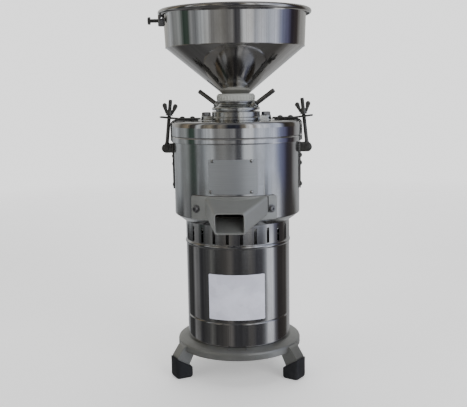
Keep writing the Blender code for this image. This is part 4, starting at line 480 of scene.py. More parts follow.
def soften(points, closed=True):
    """Round the corners of an outline. A point is (x, y) or (x, y, radius)."""
    made = []
    count = len(points)
    for i, point in enumerate(points):
        here = Vector(point[:2])
        radius = point[2] if len(point) > 2 else 0.0
        if not radius or (not closed and i in (0, count - 1)):
            made.append(tuple(here))
            continue
        before = Vector(points[i - 1][:2]) - here
        after = Vector(points[(i + 1) % count][:2]) - here
        half = before.angle(after) / 2
        reach = min(radius / math.tan(half), before.length * 0.48, after.length * 0.48)
        start = here + before.normalized() * reach
        end = here + after.normalized() * reach
        for step in range(5):
            t = step / 4
            made.append(tuple(start * (1 - t) ** 2 + here * 2 * t * (1 - t) + end * t ** 2))
    return made


def arc(centre, radius, first, last, steps=8):
    """Arc points, angles in degrees."""
    points = []
    for i in range(steps + 1):
        angle = math.radians(first + (last - first) * i / steps)
        points.append((centre[0] + radius * math.cos(angle), centre[1] + radius * math.sin(angle)))
    return points


def sheet_outline(line, thickness):
    """Close an open line into a sheet that lies to its right."""
    side = []
    for i, point in enumerate(line):
        first = Vector(line[max(i, 1)]) - Vector(line[max(i, 1) - 1])
        following = min(i + 1, len(line) - 1)
        second = Vector(line[following]) - Vector(line[following - 1])
        before = Vector((first.y, -first.x)).normalized()
        after = Vector((second.y, -second.x)).normalized()
        offset = (before + after) / (1.0 + before.dot(after))
        side.append(tuple(Vector(point) + offset * thickness))
    return list(line) + side[::-1]


def lathe(name, outline, steps=FINE_ROUND, matrix=None):
    """Closed outline of (radius, height) turned about Z."""
    points = soften(outline)
    on_axis = [i for i, (radius, height) in enumerate(points) if radius < 1e-7]

    def build(shape):
        rings = []
        for radius, height in points:
            if radius < 1e-7:
                rings.append([shape.verts.new((0.0, 0.0, height))] * steps)
                continue
            ring = []
            for i in range(steps):
                angle = 2 * math.pi * i / steps
                place = (radius * math.cos(angle), radius * math.sin(angle), height)
                ring.append(shape.verts.new(place))
            rings.append(ring)
        for k, ring in enumerate(rings):
            following = rings[(k + 1) % len(rings)]
            if k in on_axis and (k + 1) % len(rings) in on_axis:
                continue
            for i in range(steps):
                j = (i + 1) % steps
                corners = []
                for corner in (ring[i], ring[j], following[j], following[i]):
                    if corner not in corners:
                        corners.append(corner)
                shape.faces.new(corners)
    obj = as_object(build, name)
    if matrix:
        obj.data.transform(matrix)
    return obj


def plug(radius, start, end, matrix=None, steps=SMALL_ROUND):
    """Plain cylinder along Z that cuts a hole."""
    return lathe("plug", [(0.0, start), (0.0, end), (radius, end), (radius, start)], steps, matrix)


def slab(name, outline, thickness, matrix, edge=EDGE):
    """Flat plate of an outline, thickness centred on the matrix XY plane."""
    points = soften(outline)

    def build(shape):
        rows = []
        for height in (-thickness / 2, thickness / 2):
            rows.append([shape.verts.new((x, y, height)) for x, y in points])
        bottom = shape.faces.new(rows[0][::-1])
        top = shape.faces.new(rows[1])
        count = len(points)
        for i in range(count):
            j = (i + 1) % count
            shape.faces.new((rows[0][i], rows[0][j], rows[1][j], rows[1][i]))
        if edge:
            rim = list({*bottom.edges, *top.edges})
            bmesh.ops.bevel(shape, geom=rim, offset=edge, segments=2, profile=0.5, affect="EDGES")
        bmesh.ops.transform(shape, matrix=matrix, verts=shape.verts)
    return as_object(build, name)


def block(name, size, matrix, edge=EDGE):
    """Box with rounded edges, centred on the matrix."""
    def build(shape):
        bmesh.ops.create_cube(shape, size=1.0, matrix=Matrix.Diagonal((*size, 1.0)))
        if edge:
            bmesh.ops.bevel(shape, geom=shape.edges[:], offset=edge, segments=3, profile=0.5,
                            affect="EDGES")
        bmesh.ops.transform(shape, matrix=matrix, verts=shape.verts)
    return as_object(build, name)


def rounded_box_outline(width, height, corner):
    """Rectangle outline with corner radii for soften."""
    w, h = width / 2, height / 2
    return [(w, h, corner), (-w, h, corner), (-w, -h, corner), (w, -h, corner)]


def hexagon(corner):
    """Hexagon outline with its corners at a radius."""
    return [(corner * math.cos(math.radians(a)), corner * math.sin(math.radians(a)))
            for a in range(0, 360, 60)]


def hexagon_head(name, flats, height, matrix):
    """Hexagon head with its corners turned off at the top."""
    corner = flats / math.sqrt(3)
    head = lathe(name, [(0.0, 0.0), (0.0, height), (flats / 2 * 0.94, height), (corner, height * 0.78),
                        (corner, 0.0)], SMALL_ROUND)
    prism = slab("prism", hexagon(corner), height * 4, Matrix.Identity(4), edge=0.0)
    head = cut(head, prism, operation="INTERSECT")
    head.data.transform(matrix)
    return head


def curved_sheet(name, radius, thickness, bottom, height, first, last, corner, steps=48):
    """Part of a thin cylinder wall with rounded corners, angles from the front."""
    rows = 24

    def build(shape):
        grid = []
        for i in range(steps + 1):
            u = i / steps
            angle = math.radians(-90.0 + first + (last - first) * u)
            width = radius * math.radians(last - first)
            from_side = min(u, 1 - u) * width
            trim = 0.0
            if from_side < corner:
                trim = corner - math.sqrt(max(corner ** 2 - (corner - from_side) ** 2, 0.0))
            column = []
            for k in range(rows + 1):
                z = bottom + trim + (height - 2 * trim) * k / rows
                place = (radius * math.cos(angle), radius * math.sin(angle), z)
                column.append(shape.verts.new(place))
            grid.append(column)
        for a, b in zip(grid, grid[1:]):
            for k in range(rows):
                shape.faces.new((a[k], b[k], b[k + 1], a[k + 1]))
    obj = as_object(build, name)
    shell = obj.modifiers.new("Thickness", "SOLIDIFY")
    shell.thickness = thickness
    shell.offset = 1.0
    return baked(obj)


# Geometry Nodes trees for what repeats.

def new_tree(name, inputs):
    """Geometry Nodes tree with a geometry input, the named inputs and one output."""
    tree = bpy.data.node_groups.new(name, "GeometryNodeTree")
    tree.interface.new_socket("Geometry", in_out="INPUT", socket_type="NodeSocketGeometry")
    for label, kind in inputs:
        tree.interface.new_socket(label, in_out="INPUT", socket_type=kind)
    tree.interface.new_socket("Geometry", in_out="OUTPUT", socket_type="NodeSocketGeometry")
    return tree


def grown(name, tree, values):
    """Run a tree on an empty mesh and return the plain result."""
    carrier = linked(name, bpy.data.meshes.new(name))
    modifier = carrier.modifiers.new("Nodes", "NODES")
    modifier.node_group = tree
    for item in tree.interface.items_tree:
        if item.in_out == "INPUT" and item.name in values:
            modifier[item.identifier] = values[item.name]
    return baked(carrier)


def make_rib_tree():
    """Upright ribs spaced evenly round a ring."""
    tree = new_tree("Ribs round a ring", [
        ("Count", "NodeSocketInt"), ("Radius", "NodeSocketFloat"), ("Level", "NodeSocketFloat"),
        ("Rib Size", "NodeSocketVector"), ("Look", "NodeSocketMaterial")])
    source, result = ends(tree)
    ring = tree.nodes.new("GeometryNodeMeshCircle")
    lift = tree.nodes.new("ShaderNodeCombineXYZ")
    raised = tree.nodes.new("GeometryNodeSetPosition")
    rib = tree.nodes.new("GeometryNodeMeshCube")
    copies = tree.nodes.new("GeometryNodeInstanceOnPoints")
    aim = tree.nodes.new("FunctionNodeAlignEulerToVector")
    place = tree.nodes.new("GeometryNodeInputPosition")
    real = tree.nodes.new("GeometryNodeRealizeInstances")
    look = tree.nodes.new("GeometryNodeSetMaterial")
    flat = add(tree, "ShaderNodeVectorMath", operation="MULTIPLY")
    flat.inputs[1].default_value = (1.0, 1.0, 0.0)
    aim.axis = "X"
    aim.pivot_axis = "Z"
    wire(tree, (source["Count"], ring.inputs["Vertices"]), (source["Radius"], ring.inputs["Radius"]),
         (source["Level"], lift.inputs["Z"]), (ring.outputs["Mesh"], raised.inputs["Geometry"]),
         (lift.outputs[0], raised.inputs["Offset"]), (source["Rib Size"], rib.inputs["Size"]),
         (raised.outputs[0], copies.inputs["Points"]), (rib.outputs["Mesh"], copies.inputs["Instance"]),
         (place.outputs[0], flat.inputs[0]), (flat.outputs[0], aim.inputs["Vector"]),
         (aim.outputs[0], copies.inputs["Rotation"]), (copies.outputs[0], real.inputs[0]),
         (real.outputs[0], look.inputs["Geometry"]), (source["Look"], look.inputs["Material"]),
         (look.outputs[0], result["Geometry"]))
    return tree


def make_thread_tree():
    """Screw thread: a fine ridge wound round a shank that stands on Z."""
    tree = new_tree("Screw thread", [
        ("Turns", "NodeSocketFloat"), ("Radius", "NodeSocketFloat"), ("Length", "NodeSocketFloat"),
        ("Ridge", "NodeSocketFloat"), ("Look", "NodeSocketMaterial")])
    source, result = ends(tree)
    spiral = tree.nodes.new("GeometryNodeCurveSpiral")
    spiral.inputs["Resolution"].default_value = 20
    ridge = tree.nodes.new("GeometryNodeCurvePrimitiveCircle")
    ridge.inputs["Resolution"].default_value = 4
    skin = tree.nodes.new("GeometryNodeCurveToMesh")
    skin.inputs["Fill Caps"].default_value = True
    real = tree.nodes.new("GeometryNodeRealizeInstances")
    look = tree.nodes.new("GeometryNodeSetMaterial")
    wire(tree, (source["Turns"], spiral.inputs["Rotations"]),
         (source["Radius"], spiral.inputs["Start Radius"]),
         (source["Radius"], spiral.inputs["End Radius"]), (source["Length"], spiral.inputs["Height"]),
         (source["Ridge"], ridge.inputs["Radius"]), (spiral.outputs[0], skin.inputs["Curve"]),
         (ridge.outputs[0], skin.inputs["Profile Curve"]), (skin.outputs[0], real.inputs[0]),
         (real.outputs[0], look.inputs["Geometry"]), (source["Look"], look.inputs["Material"]),
         (look.outputs[0], result["Geometry"]))
    return tree


RIBS = make_rib_tree()
THREAD = make_thread_tree()


def thread(name, radius, length, pitch, look, matrix):
    """Thread ridge of a pitch, placed on a shank."""
    made = grown(name, THREAD, {"Turns": length / pitch, "Radius": radius, "Length": length,
                                "Ridge": pitch * 0.45, "Look": look})
    made.data.transform(matrix)
    return made


# Pieces, from the top down.

def make_hopper():
    """Funnel with a rolled rim, a seam at the belt and a plain neck."""
    roll = 0.0042
    rim = arc((RIM_RADIUS - roll, HOPPER_TOP - roll), roll, -70.0, 120.0, 12)
    line = rim + [(BELT_TOP_RADIUS + 0.0015, LIP_BOTTOM + 0.005), (BELT_TOP_RADIUS, LIP_BOTTOM - 0.002)]
    line = soften([*line, (BELT_RADIUS, BELT_BOTTOM, 0.0018), (OUTLET_RADIUS, OUTLET, 0.002),
                   (NECK_RADIUS, OUTLET - 0.001), (NECK_RADIUS, HOPPER_BOTTOM)], closed=False)
    shell = lathe("hopper_shell", sheet_outline(line, SHEET))
    finished(shell, HOPPER_STEEL, "hopper_unit", "polished_steel", "hopper")
    flange = lathe("hopper_flange", [
        (NECK_RADIUS - 0.0004, RING_TOP - 0.0034), (0.029, RING_TOP - 0.0034, 0.0004),
        (0.029, RING_TOP - 0.005, 0.0004), (NECK_RADIUS - 0.0004, RING_TOP - 0.005)])
    finished(flange, TURNED_STEEL, "hopper_unit", "plain_steel", "hopper")
    bead = lathe("hopper_weld", arc((BELT_RADIUS - 0.0004, BELT_BOTTOM - 0.0002), 0.0009, 0.0, 330.0, 8))
    finished(bead, HOPPER_STEEL, "hopper_unit", "polished_steel", "hopper")


def make_clamp_bracket():
    """Folded U under the rim, and its hexagon bolt."""
    near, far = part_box("clamp_bracket")
    frame_at = turn(BRACKET_SIDE) @ shift(z=middle("clamp_bracket"))
    height = far[2] - near[2]
    half, outer, sheet = 0.011, BELT_TOP_RADIUS + 0.0105, 0.0025
    wall = math.sqrt(BELT_TOP_RADIUS ** 2 - half ** 2) + 0.0006
    line = soften([(wall, half), (outer, half, 0.003), (outer, -half, 0.003), (wall, -half)], closed=False)
    bracket = slab("clamp_bracket_sheet", sheet_outline(line, sheet), height, frame_at)
    half_way = (wall + outer) / 2 - sheet / 2
    hole = frame_at @ shift(x=half_way, z=height / 4) @ turn(90.0, "X")
    bracket = cut(bracket, plug(0.0023, -0.02, 0.02, hole))
    finished(bracket, TURNED_STEEL, "hopper_unit", "plain_steel", "clamp_bracket")
    along = turn(BRACKET_SIDE) @ shift(z=middle("clamp_bolt")) @ turn(90.0, "Y")
    start, seat, end, radius = outer - 0.0075, outer + 0.0155, outer + 0.021, 0.0034
    head = hexagon_head("head", 0.013, end - seat, along @ shift(z=seat))
    shank = lathe("shank", [(0.0, start), (0.0, seat + 0.001), (radius, seat + 0.001),
                            (radius, start + 0.0008), (radius - 0.0008, start)], SMALL_ROUND, along)
    finished(joined("clamp_bolt_head", head, shank), DARK_STEEL, "hopper_unit", "plain_steel", "clamp_bolt")
    ridge = thread("clamp_bolt_thread", radius, seat - start - 0.003, BOLT_PITCH, DARK_STEEL,
                   along @ shift(z=start + 0.001))
    finished(ridge, DARK_STEEL, "hopper_unit", "plain_steel", "clamp_bolt")


def make_ring_nut():
    """Ribbed plastic ring nut under the funnel."""
    inner, lip = 0.0306, 0.0262
    body = lathe("ring_nut_body", [
        (lip, RING_TOP, 0.0005), (RING_RADIUS - 0.0036, RING_TOP, 0.0012),
        (RING_RADIUS - 0.0008, RING_TOP - 0.0032, 0.001),
        (RING_RADIUS - 0.0008, RING_BOTTOM + 0.0018, 0.001), (RING_RADIUS - 0.0022, RING_BOTTOM, 0.0008),
        (inner, RING_BOTTOM, 0.0004), (inner, RING_TOP - 0.0028), (lip, RING_TOP - 0.0028)])
    finished(body, RING_PLASTIC, "ring", "white_plastic", "ring_nut")
    level = (RING_BOTTOM + RING_TOP - 0.0016) / 2
    ribs = grown("ring_nut_ribs", RIBS, {
        "Count": 36, "Radius": RING_RADIUS - 0.0009, "Level": level,
        "Rib Size": (0.0018, 0.0026, 0.0088), "Look": RING_PLASTIC})
    soften_edges(ribs, 0.0006)
    finished(baked(ribs), RING_PLASTIC, "ring", "white_plastic", "ring_nut")


def soften_edges(obj, width, segments=2):
    """Bevel modifier with matching render values."""
    modifier = obj.modifiers.new("Edges", "BEVEL")
    modifier.width = width
    modifier.segments = segments
    modifier.limit_method = "ANGLE"
    modifier.angle_limit = math.radians(30.0)


def make_collar():
    """Bell-shaped collar with its two rods."""
    bottom = low("adjusting_collar")
    bore, thread_radius, rod_radius = 0.0306, 0.0395, 0.0045
    bell = lathe("adjusting_collar_bell", [
        (bore, COLLAR_TOP, 0.0005), (0.0335, COLLAR_TOP, 0.0012), (0.0345, COLLAR_TOP - 0.0028, 0.0012),
        (0.0385, COLLAR_TOP - 0.0064, 0.004), (0.0445, COLLAR_TOP - 0.0082, 0.002),
        (COLLAR_RADIUS, COLLAR_TOP - 0.0105, 0.0016), (COLLAR_RADIUS, COLLAR_FOOT, 0.0012),
        (thread_radius, COLLAR_FOOT), (thread_radius, bottom, 0.0006), (bore, bottom, 0.0006)])
    sockets = [plug(rod_radius + 0.0002, -0.002, 0.05, rod_frame(side)) for _, side in ROD_SIDES]
    bell = cut(bell, *sockets)
    finished(bell, BRIGHT_CASTING, "collar", "bright_metal", "adjusting_collar")
    ridge = thread("adjusting_collar_thread", thread_radius, COLLAR_FOOT - bottom - 0.002, COLLAR_PITCH,
                   TURNED_STEEL, shift(z=bottom + 0.001))
    finished(ridge, TURNED_STEEL, "collar", "bright_metal", "adjusting_collar")
    length = (ROD_TIP - ROD_ROOT) / math.cos(math.radians(ROD_RISE))
    for name, side in ROD_SIDES:
        at = rod_frame(side)
        rod = lathe("adjuster_rod_round_" + name, [
            (0.0, 0.0), (0.0, length), (rod_radius, length, 0.0012), (rod_radius, 0.0, 0.0008)],
            SMALL_ROUND, at)
        dimple = lathe("dimple", [(0.0, length - 0.0006), (0.0, length + 0.001), (0.0018, length + 0.001),
                                  (0.0012, length - 0.0006)], SMALL_ROUND, at)
        finished(cut(rod, dimple), ROD_STEEL, "collar", "plain_steel", "adjuster_rod_" + name)
        boss = lathe("adjuster_boss_" + name, [
            (0.0048, 0.002), (0.0048, 0.0116, 0.0004), (0.0074, 0.0112, 0.0012), (0.0092, 0.002)],
            SMALL_ROUND, at)
        finished(boss, BRIGHT_CASTING, "collar", "bright_metal")


def rod_frame(side):
    """Root of one adjuster rod, +Z along it."""
    rise = (ROD_TIP - ROD_ROOT) * math.tan(math.radians(ROD_RISE))
    tip_height = COLLAR_FOOT + 0.0385
    return turn(side) @ shift(x=ROD_ROOT, z=tip_height - rise) @ turn(90.0 - ROD_RISE, "Y")


def make_hub():
    """Threaded hub with two bolted ears."""
    seat, bottom = COVER_TOP + GAP, low("cover_hub")
    bore, wall, flange = 0.0406, 0.0485, 0.0503
    ring = lathe("ring", [
        (bore, HUB_TOP, 0.0005), (wall - 0.0012, HUB_TOP, 0.0012), (wall, HUB_TOP - 0.0018, 0.001),
        (wall, seat + 0.0072, 0.0012), (flange, seat + 0.0046, 0.001), (flange, seat, 0.0004),
        (0.046, seat), (0.046, bottom), (bore, bottom)])
    ears = []
    for _, side in SIDES:
        outline = arc((HUB_EAR_REACH, 0.0), 0.0105, -78.0, 78.0, 16)
        outline += [(0.0435, 0.017, 0.004), (0.0435, -0.017, 0.004)]
        ear = slab("ear", outline, 0.0078, turn(side) @ shift(z=seat + 0.0041), edge=0.0012)
        ears.append(cut(ear, plug(0.0457, seat - 0.01, HUB_TOP, steps=FINE_ROUND)))
    finished(joined("cover_hub_ring", ring, *ears), BRIGHT_CASTING, "housing", "bright_metal", "cover_hub")
    for name, side in SIDES:
        at = turn(side) @ shift(x=HUB_EAR_REACH, z=high("hub_screw_" + name) - 0.0075)
        head = hexagon_head("head", 0.016, 0.0073, at @ turn(12.0))
        washer = lathe("washer", [(0.0055, -0.0001), (0.0055, 0.0014, 0.0003), (0.0098, 0.0014, 0.0004),
                                  (0.0098, -0.0001)], SMALL_ROUND, at)
        finished(joined("hub_screw_head_" + name, head, washer), SCREW_STEEL, "housing", "plain_steel",
                 "hub_screw_" + name)


def make_cover():
    """Mirror cover with a rolled-in seam and a rounded shoulder."""
    groove = COVER_BOTTOM + 0.011
    inner = COVER_RADIUS - COVER_WALL
    ledge = high("cover_gasket") + GAP
    cover = lathe("chamber_cover_shell", [
        (0.0465, COVER_TOP, 0.0004), (COVER_RADIUS - 0.001, COVER_TOP, 0.0085),
        (COVER_RADIUS, COVER_TOP - 0.011, 0.001),
        (COVER_RADIUS, groove + 0.0016, 0.0006), (COVER_RADIUS - 0.0012, groove, 0.0006),
        (COVER_RADIUS, groove - 0.0016, 0.0006), (COVER_RADIUS, COVER_BOTTOM, 0.0007),
        (inner, COVER_BOTTOM, 0.0004), (inner, ledge), (inner - 0.018, ledge), (inner - 0.018, ledge + 0.002),
        (inner, ledge + 0.002), (inner, COVER_TOP - 0.007, 0.004), (inner - 0.004, COVER_TOP - 0.003),
        (0.0465, COVER_TOP - 0.003)])
    finished(cover, COVER_STEEL, "housing", "polished_steel", "chamber_cover")


def make_clamps():
    """Straps, hinge brackets, pins, swing bolts, washers and wing nuts."""
    for name, side in SIDES:
        about = turn(side)
        make_strap(name, about)
        make_hinge(name, about)
        make_bolt(name, about @ Matrix.Translation(PIVOT) @ turn(-BOLT_LEAN, "Y"))


def rivet(radius, height, matrix):
    """Domed rivet head, its root sunk a little into the sheet."""
    root = -0.0005
    dome = [(radius * x, height * y) for x, y in arc((0.0, 0.0), 1.0, 75.0, 0.0, 5)]
    return lathe("rivet", [(0.0, root), (0.0, height), *dome, (radius, root)], 32, matrix)


def make_strap(name, about):
    """Forked strap on the cover with a tail over the shoulder."""
    bottom = COVER_TOP + GAP
    seat, tail = bottom + 0.0018, 0.0018
    top = seat + 0.003
    bend, reach, inner = 0.1155, 0.1536, 0.073
    fork_half, strap_half = 0.0049, 0.0151
    fork_end = 0.1301 + fork_half
    rise = (reach - bend) * math.tan(math.radians(6.5))
    upright = about @ turn(90.0, "X")
    flat = about @ shift(z=seat)
    side_view = [(inner, seat), (bend, seat, 0.02), (reach, seat + rise),
                 (reach, top + rise), (bend, top, 0.02), (inner, top)]
    plate = slab("plate", side_view, 0.030, upright, edge=0.0005)
    fork = [(fork_end, fork_half), (0.17, fork_half), (0.17, -fork_half), (fork_end, -fork_half)]
    fork += arc((fork_end, 0.0), fork_half, 260.0, 100.0, 10)
    tools = [slab("fork", fork, 0.04, flat, edge=0.0)]
    for sign in (-1, 1):
        corner = [(reach + 0.001, sign * strap_half), (reach - 0.005, sign * strap_half),
                  (reach + 0.001, sign * 0.0095)]
        tools.append(slab("corner", corner, 0.06, flat, edge=0.0))
    plate = cut(plate, *tools)
    line = [(COVER_RADIUS + GAP, COVER_BOTTOM + 0.001)]
    line += arc((COVER_RADIUS - 0.008, COVER_TOP - 0.008), 0.0083, 0.0, 90.0, 10)
    line += [(inner + 0.004, bottom)]
    leg = slab("leg", sheet_outline(line, tail), 0.016, upright, edge=0.0004)
    rivets = [rivet(0.0055, 0.0036, about @ shift(x=radius, z=top)) for radius in (0.0885, 0.109)]
    strap = joined("cover_strap_forked_" + name, plate, leg, *rivets)
    finished(strap, DARK_STEEL, "housing", "dark_steel", "cover_strap_" + name)


def make_hinge(name, about):
    """Riveted plate with two ears and the pin through them."""
    node = "hinge_bracket_" + name
    inner, outer = DRUM_RADIUS + GAP, DRUM_RADIUS + 0.0028
    ear_radius, root = 0.0094, outer - 0.001
    pieces = [slab("plate", rounded_box_outline(high(node) - low(node), 0.026, 0.006), outer - inner,
                   about @ shift(x=(inner + outer) / 2, z=middle(node)) @ turn(90.0, "Y"), edge=0.0006)]
    ear = arc((PIVOT.x, PIVOT.z), ear_radius, -90.0, 90.0, 16)
    ear += [(root, PIVOT.z + ear_radius), (root, PIVOT.z - ear_radius)]
    for sign in (-1, 1):
        pieces.append(slab("ear", ear, 0.003, about @ shift(y=sign * 0.0064) @ turn(90.0, "X"), edge=0.0006))
    for drop in (0.0165, 0.032, 0.0745):
        pieces.append(rivet(0.0046, 0.0031, about @ shift(x=outer, z=PIVOT.z - drop) @ turn(90.0, "Y")))
    hinge = joined("hinge_bracket_riveted_" + name, *pieces)
    finished(hinge, DARK_STEEL, "housing", "dark_steel", node)
    half, end, pin_radius, head_radius = 0.0083, 0.0102, 0.003, 0.0048
    pin = lathe("hinge_pin_headed_" + name, [
        (0.0, -end), (0.0, end), (head_radius, end, 0.0012), (head_radius, half), (pin_radius, half),
        (pin_radius, -half), (head_radius, -half), (head_radius, -end, 0.0012)],
        SMALL_ROUND, about @ Matrix.Translation(PIVOT) @ turn(90.0, "X"))
    finished(pin, DARK_STEEL, "housing", "dark_steel", "hinge_pin_" + name)


def make_bolt(name, frame_at):
    """Swing bolt with its eye, washer and wing nut."""
    eye = lathe("eye", [(0.0033, 0.0045, 0.0005), (0.009, 0.0045, 0.0016), (0.009, -0.0045, 0.0016),
                        (0.0033, -0.0045, 0.0005)], SMALL_ROUND, frame_at @ turn(90.0, "X"))
    length, plain, radius = 0.098, 0.048, 0.0035
    shank = lathe("shank", [
        (0.0, 0.0065), (0.0, length), (0.0028, length), (radius, length - 0.001), (radius, plain),
        (0.0037, plain - 0.001), (0.0037, 0.013, 0.006), (0.0052, 0.0065)], SMALL_ROUND, frame_at)
    bolt = joined("swing_bolt_eyed_" + name, eye, shank)
    finished(bolt, DARK_STEEL, "bolt_" + name, "dark_steel", "swing_bolt_" + name)
    ridge = thread("swing_bolt_thread_" + name, radius, length - plain - 0.0015, BOLT_PITCH, DARK_STEEL,
                   frame_at @ shift(z=plain))
    finished(ridge, DARK_STEEL, "bolt_" + name, "dark_steel", "swing_bolt_" + name)
    seat = 0.0659
    washer = lathe("washer_ring_" + name, [
        (0.0042, seat + 0.0016, 0.0003), (0.0075, seat + 0.0016, 0.0004), (0.0075, seat, 0.0004),
        (0.0042, seat, 0.0003)], SMALL_ROUND, frame_at)
    finished(washer, SCREW_STEEL, "washer_body_" + name, "plain_steel", "washer_" + name)
    base = seat + 0.0019
    boss = lathe("boss", [
        (0.0042, base + 0.0095, 0.0004), (0.0056, base + 0.0095, 0.001), (0.0064, base + 0.003, 0.002),
        (0.0066, base, 0.0006), (0.0042, base, 0.0003)], SMALL_ROUND, frame_at)
    wings = []
    for sign in (0.0, 180.0):
        lobe = arc((0.0108, base + 0.0178), 0.0048, -35.0, 190.0, 14)
        outline = lobe + [(0.0052, base + 0.0105, 0.003), (0.0046, base + 0.0015),
                          (0.0078, base + 0.0015, 0.002), (0.0098, base + 0.0062, 0.004)]
        wings.append(slab("wing", outline, 0.0038, frame_at @ turn(sign) @ turn(90.0, "X"), edge=0.0013))
    nut = joined("wing_nut_cast_" + name, boss, *wings)
    finished(nut, DARK_STEEL, "nut_" + name, "dark_steel", "wing_nut_" + name)


def spout_ring(share, inset):
    """Section of the spout from its root at 0 to its mouth at 1."""
    form = [root + (mouth - root) * share for root, mouth in SPOUT_FORM]
    width, height, bottom, reach, aside = form
    corner = 0.006 - inset * 0.5
    points = soften(rounded_box_outline(width - 2 * inset, height - 2 * inset, corner))
    return [(aside + x, -reach, bottom + height / 2 + y) for x, y in points]


def through(name, rings):
    """Solid through rings of equal point count."""
    def build(shape):
        rows = [[shape.verts.new(point) for point in ring] for ring in rings]
        for row, following in zip(rows, rows[1:]):
            for i in range(len(row)):
                j = (i + 1) % len(row)
                shape.faces.new((row[i], row[j], following[j], following[i]))
        shape.faces.new(rows[0])
        shape.faces.new(rows[-1])
    return as_object(build, name)


def spout_holes():
    """Cutters for the spout's passage and its two screws."""
    passage = through("passage", [spout_ring(-0.12, SPOUT_WALL), spout_ring(1.12, SPOUT_WALL)])
    return [passage] + [plug(0.0033, 0.08, 0.2, spout_screw_frame(side)) for _, side in SPOUT_SCREWS]


def make_spout():
    """Cast spout with soft edges, its gasket and two screws."""
    bottom, top = low("spout_gasket"), high("spout_gasket")
    inner, thickness = DRUM_RADIUS + 0.0016, 0.0035
    plate = curved_sheet("discharge_spout_cast", inner, thickness, bottom, top - bottom,
                         -FLANGE_HALF, FLANGE_HALF, 0.003, steps=64)
    skin = through("skin", [spout_ring(0.0, 0.0), spout_ring(1.0, 0.0)])
    skin = cut(skin, plug(inner + 0.001, DRUM_BOTTOM - 0.1, DRUM_TOP, steps=FINE_ROUND))
    spout = cut(plate, skin, operation="UNION")
    spout = cut(spout, *spout_holes())
    grid = spout.modifiers.new("Even skin", "REMESH")
    grid.mode = "VOXEL"
    grid.voxel_size = 0.0009
    relax = spout.modifiers.new("Cast edges", "SMOOTH")
    relax.factor = 0.5
    relax.iterations = 7
    spout = baked(spout)
    finished(spout, SPOUT_CASTING, "housing", "cast_aluminium", "discharge_spout", smooth=80.0)
    gasket = curved_sheet("spout_gasket_cut", DRUM_RADIUS + GAP, 0.001, bottom, top - bottom,
                          -FLANGE_HALF, FLANGE_HALF, 0.003)
    gasket = cut(gasket, *spout_holes())
    finished(gasket, SEAL_RUBBER, "housing", "seal_rubber", "spout_gasket")
    face = inner + thickness + GAP
    rim, head_top = face + 0.0013, face + 0.0057
    for name, side in SPOUT_SCREWS:
        at = spout_screw_frame(side)
        washer = lathe("washer", [(0.003, face, 0.0), (0.008, face, 0.0002), (0.008, rim, 0.0005),
                                  (0.003, rim)], SMALL_ROUND, at)
        head = lathe("head", [(0.0, rim), (0.0, head_top), (0.0046, head_top, 0.0012),
                              (0.0065, rim + 0.0022, 0.001), (0.0065, rim)], SMALL_ROUND, at)
        head = cut(head, slab("socket", hexagon(0.0029), 0.005, at @ shift(z=head_top), edge=0.0))
        screw = joined("spout_screw_headed_" + name, head, washer)
        finished(screw, SCREW_STEEL, "housing", "plain_steel", "spout_screw_" + name)


def spout_screw_frame(side):
    """Frame of one spout screw, +Z out of the drum."""
    return turn(-90.0 + side) @ shift(z=high("spout_gasket") - 0.0255) @ turn(90.0, "Y")


def make_drum():
    """Polished drum with its conical foot and the spout opening."""
    line = soften([(DRUM_RADIUS, DRUM_TOP), (DRUM_RADIUS, DRUM_CORNER, 0.003), (0.108, DRUM_BOTTOM, 0.002),
                   (0.060, DRUM_BOTTOM)], closed=False)
    drum = lathe("grinding_drum_shell", sheet_outline(line, DRUM_WALL))
    drum = cut(drum, *spout_holes())
    finished(drum, DRUM_STEEL, "housing", "polished_steel", "grinding_drum")


def make_nameplate():
    """Bare aluminium plate with four rivets."""
    bottom, top = low("nameplate"), high("nameplate")
    half, thickness = 21.5, 0.0008
    plate = curved_sheet("nameplate_sheet", DRUM_RADIUS + GAP, thickness, bottom, top - bottom,
                         -half, half, 0.0012)
    finished(plate, PLATE_ALUMINIUM, "housing", "bright_metal", "nameplate")
    upper, lower = top - 0.003, bottom + 0.0045
    rivets = []
    for angle, level in ((-17.4, upper), (16.1, upper), (-19.4, lower), (15.8, lower)):
        at = turn(-90.0 + angle) @ shift(z=level) @ turn(90.0, "Y") @ shift(z=DRUM_RADIUS + GAP + thickness)
        rivets.append(rivet(0.0034, 0.0019, at))
    finished(joined("nameplate_rivets", *rivets), BRIGHT_CASTING, "housing", "plain_steel")


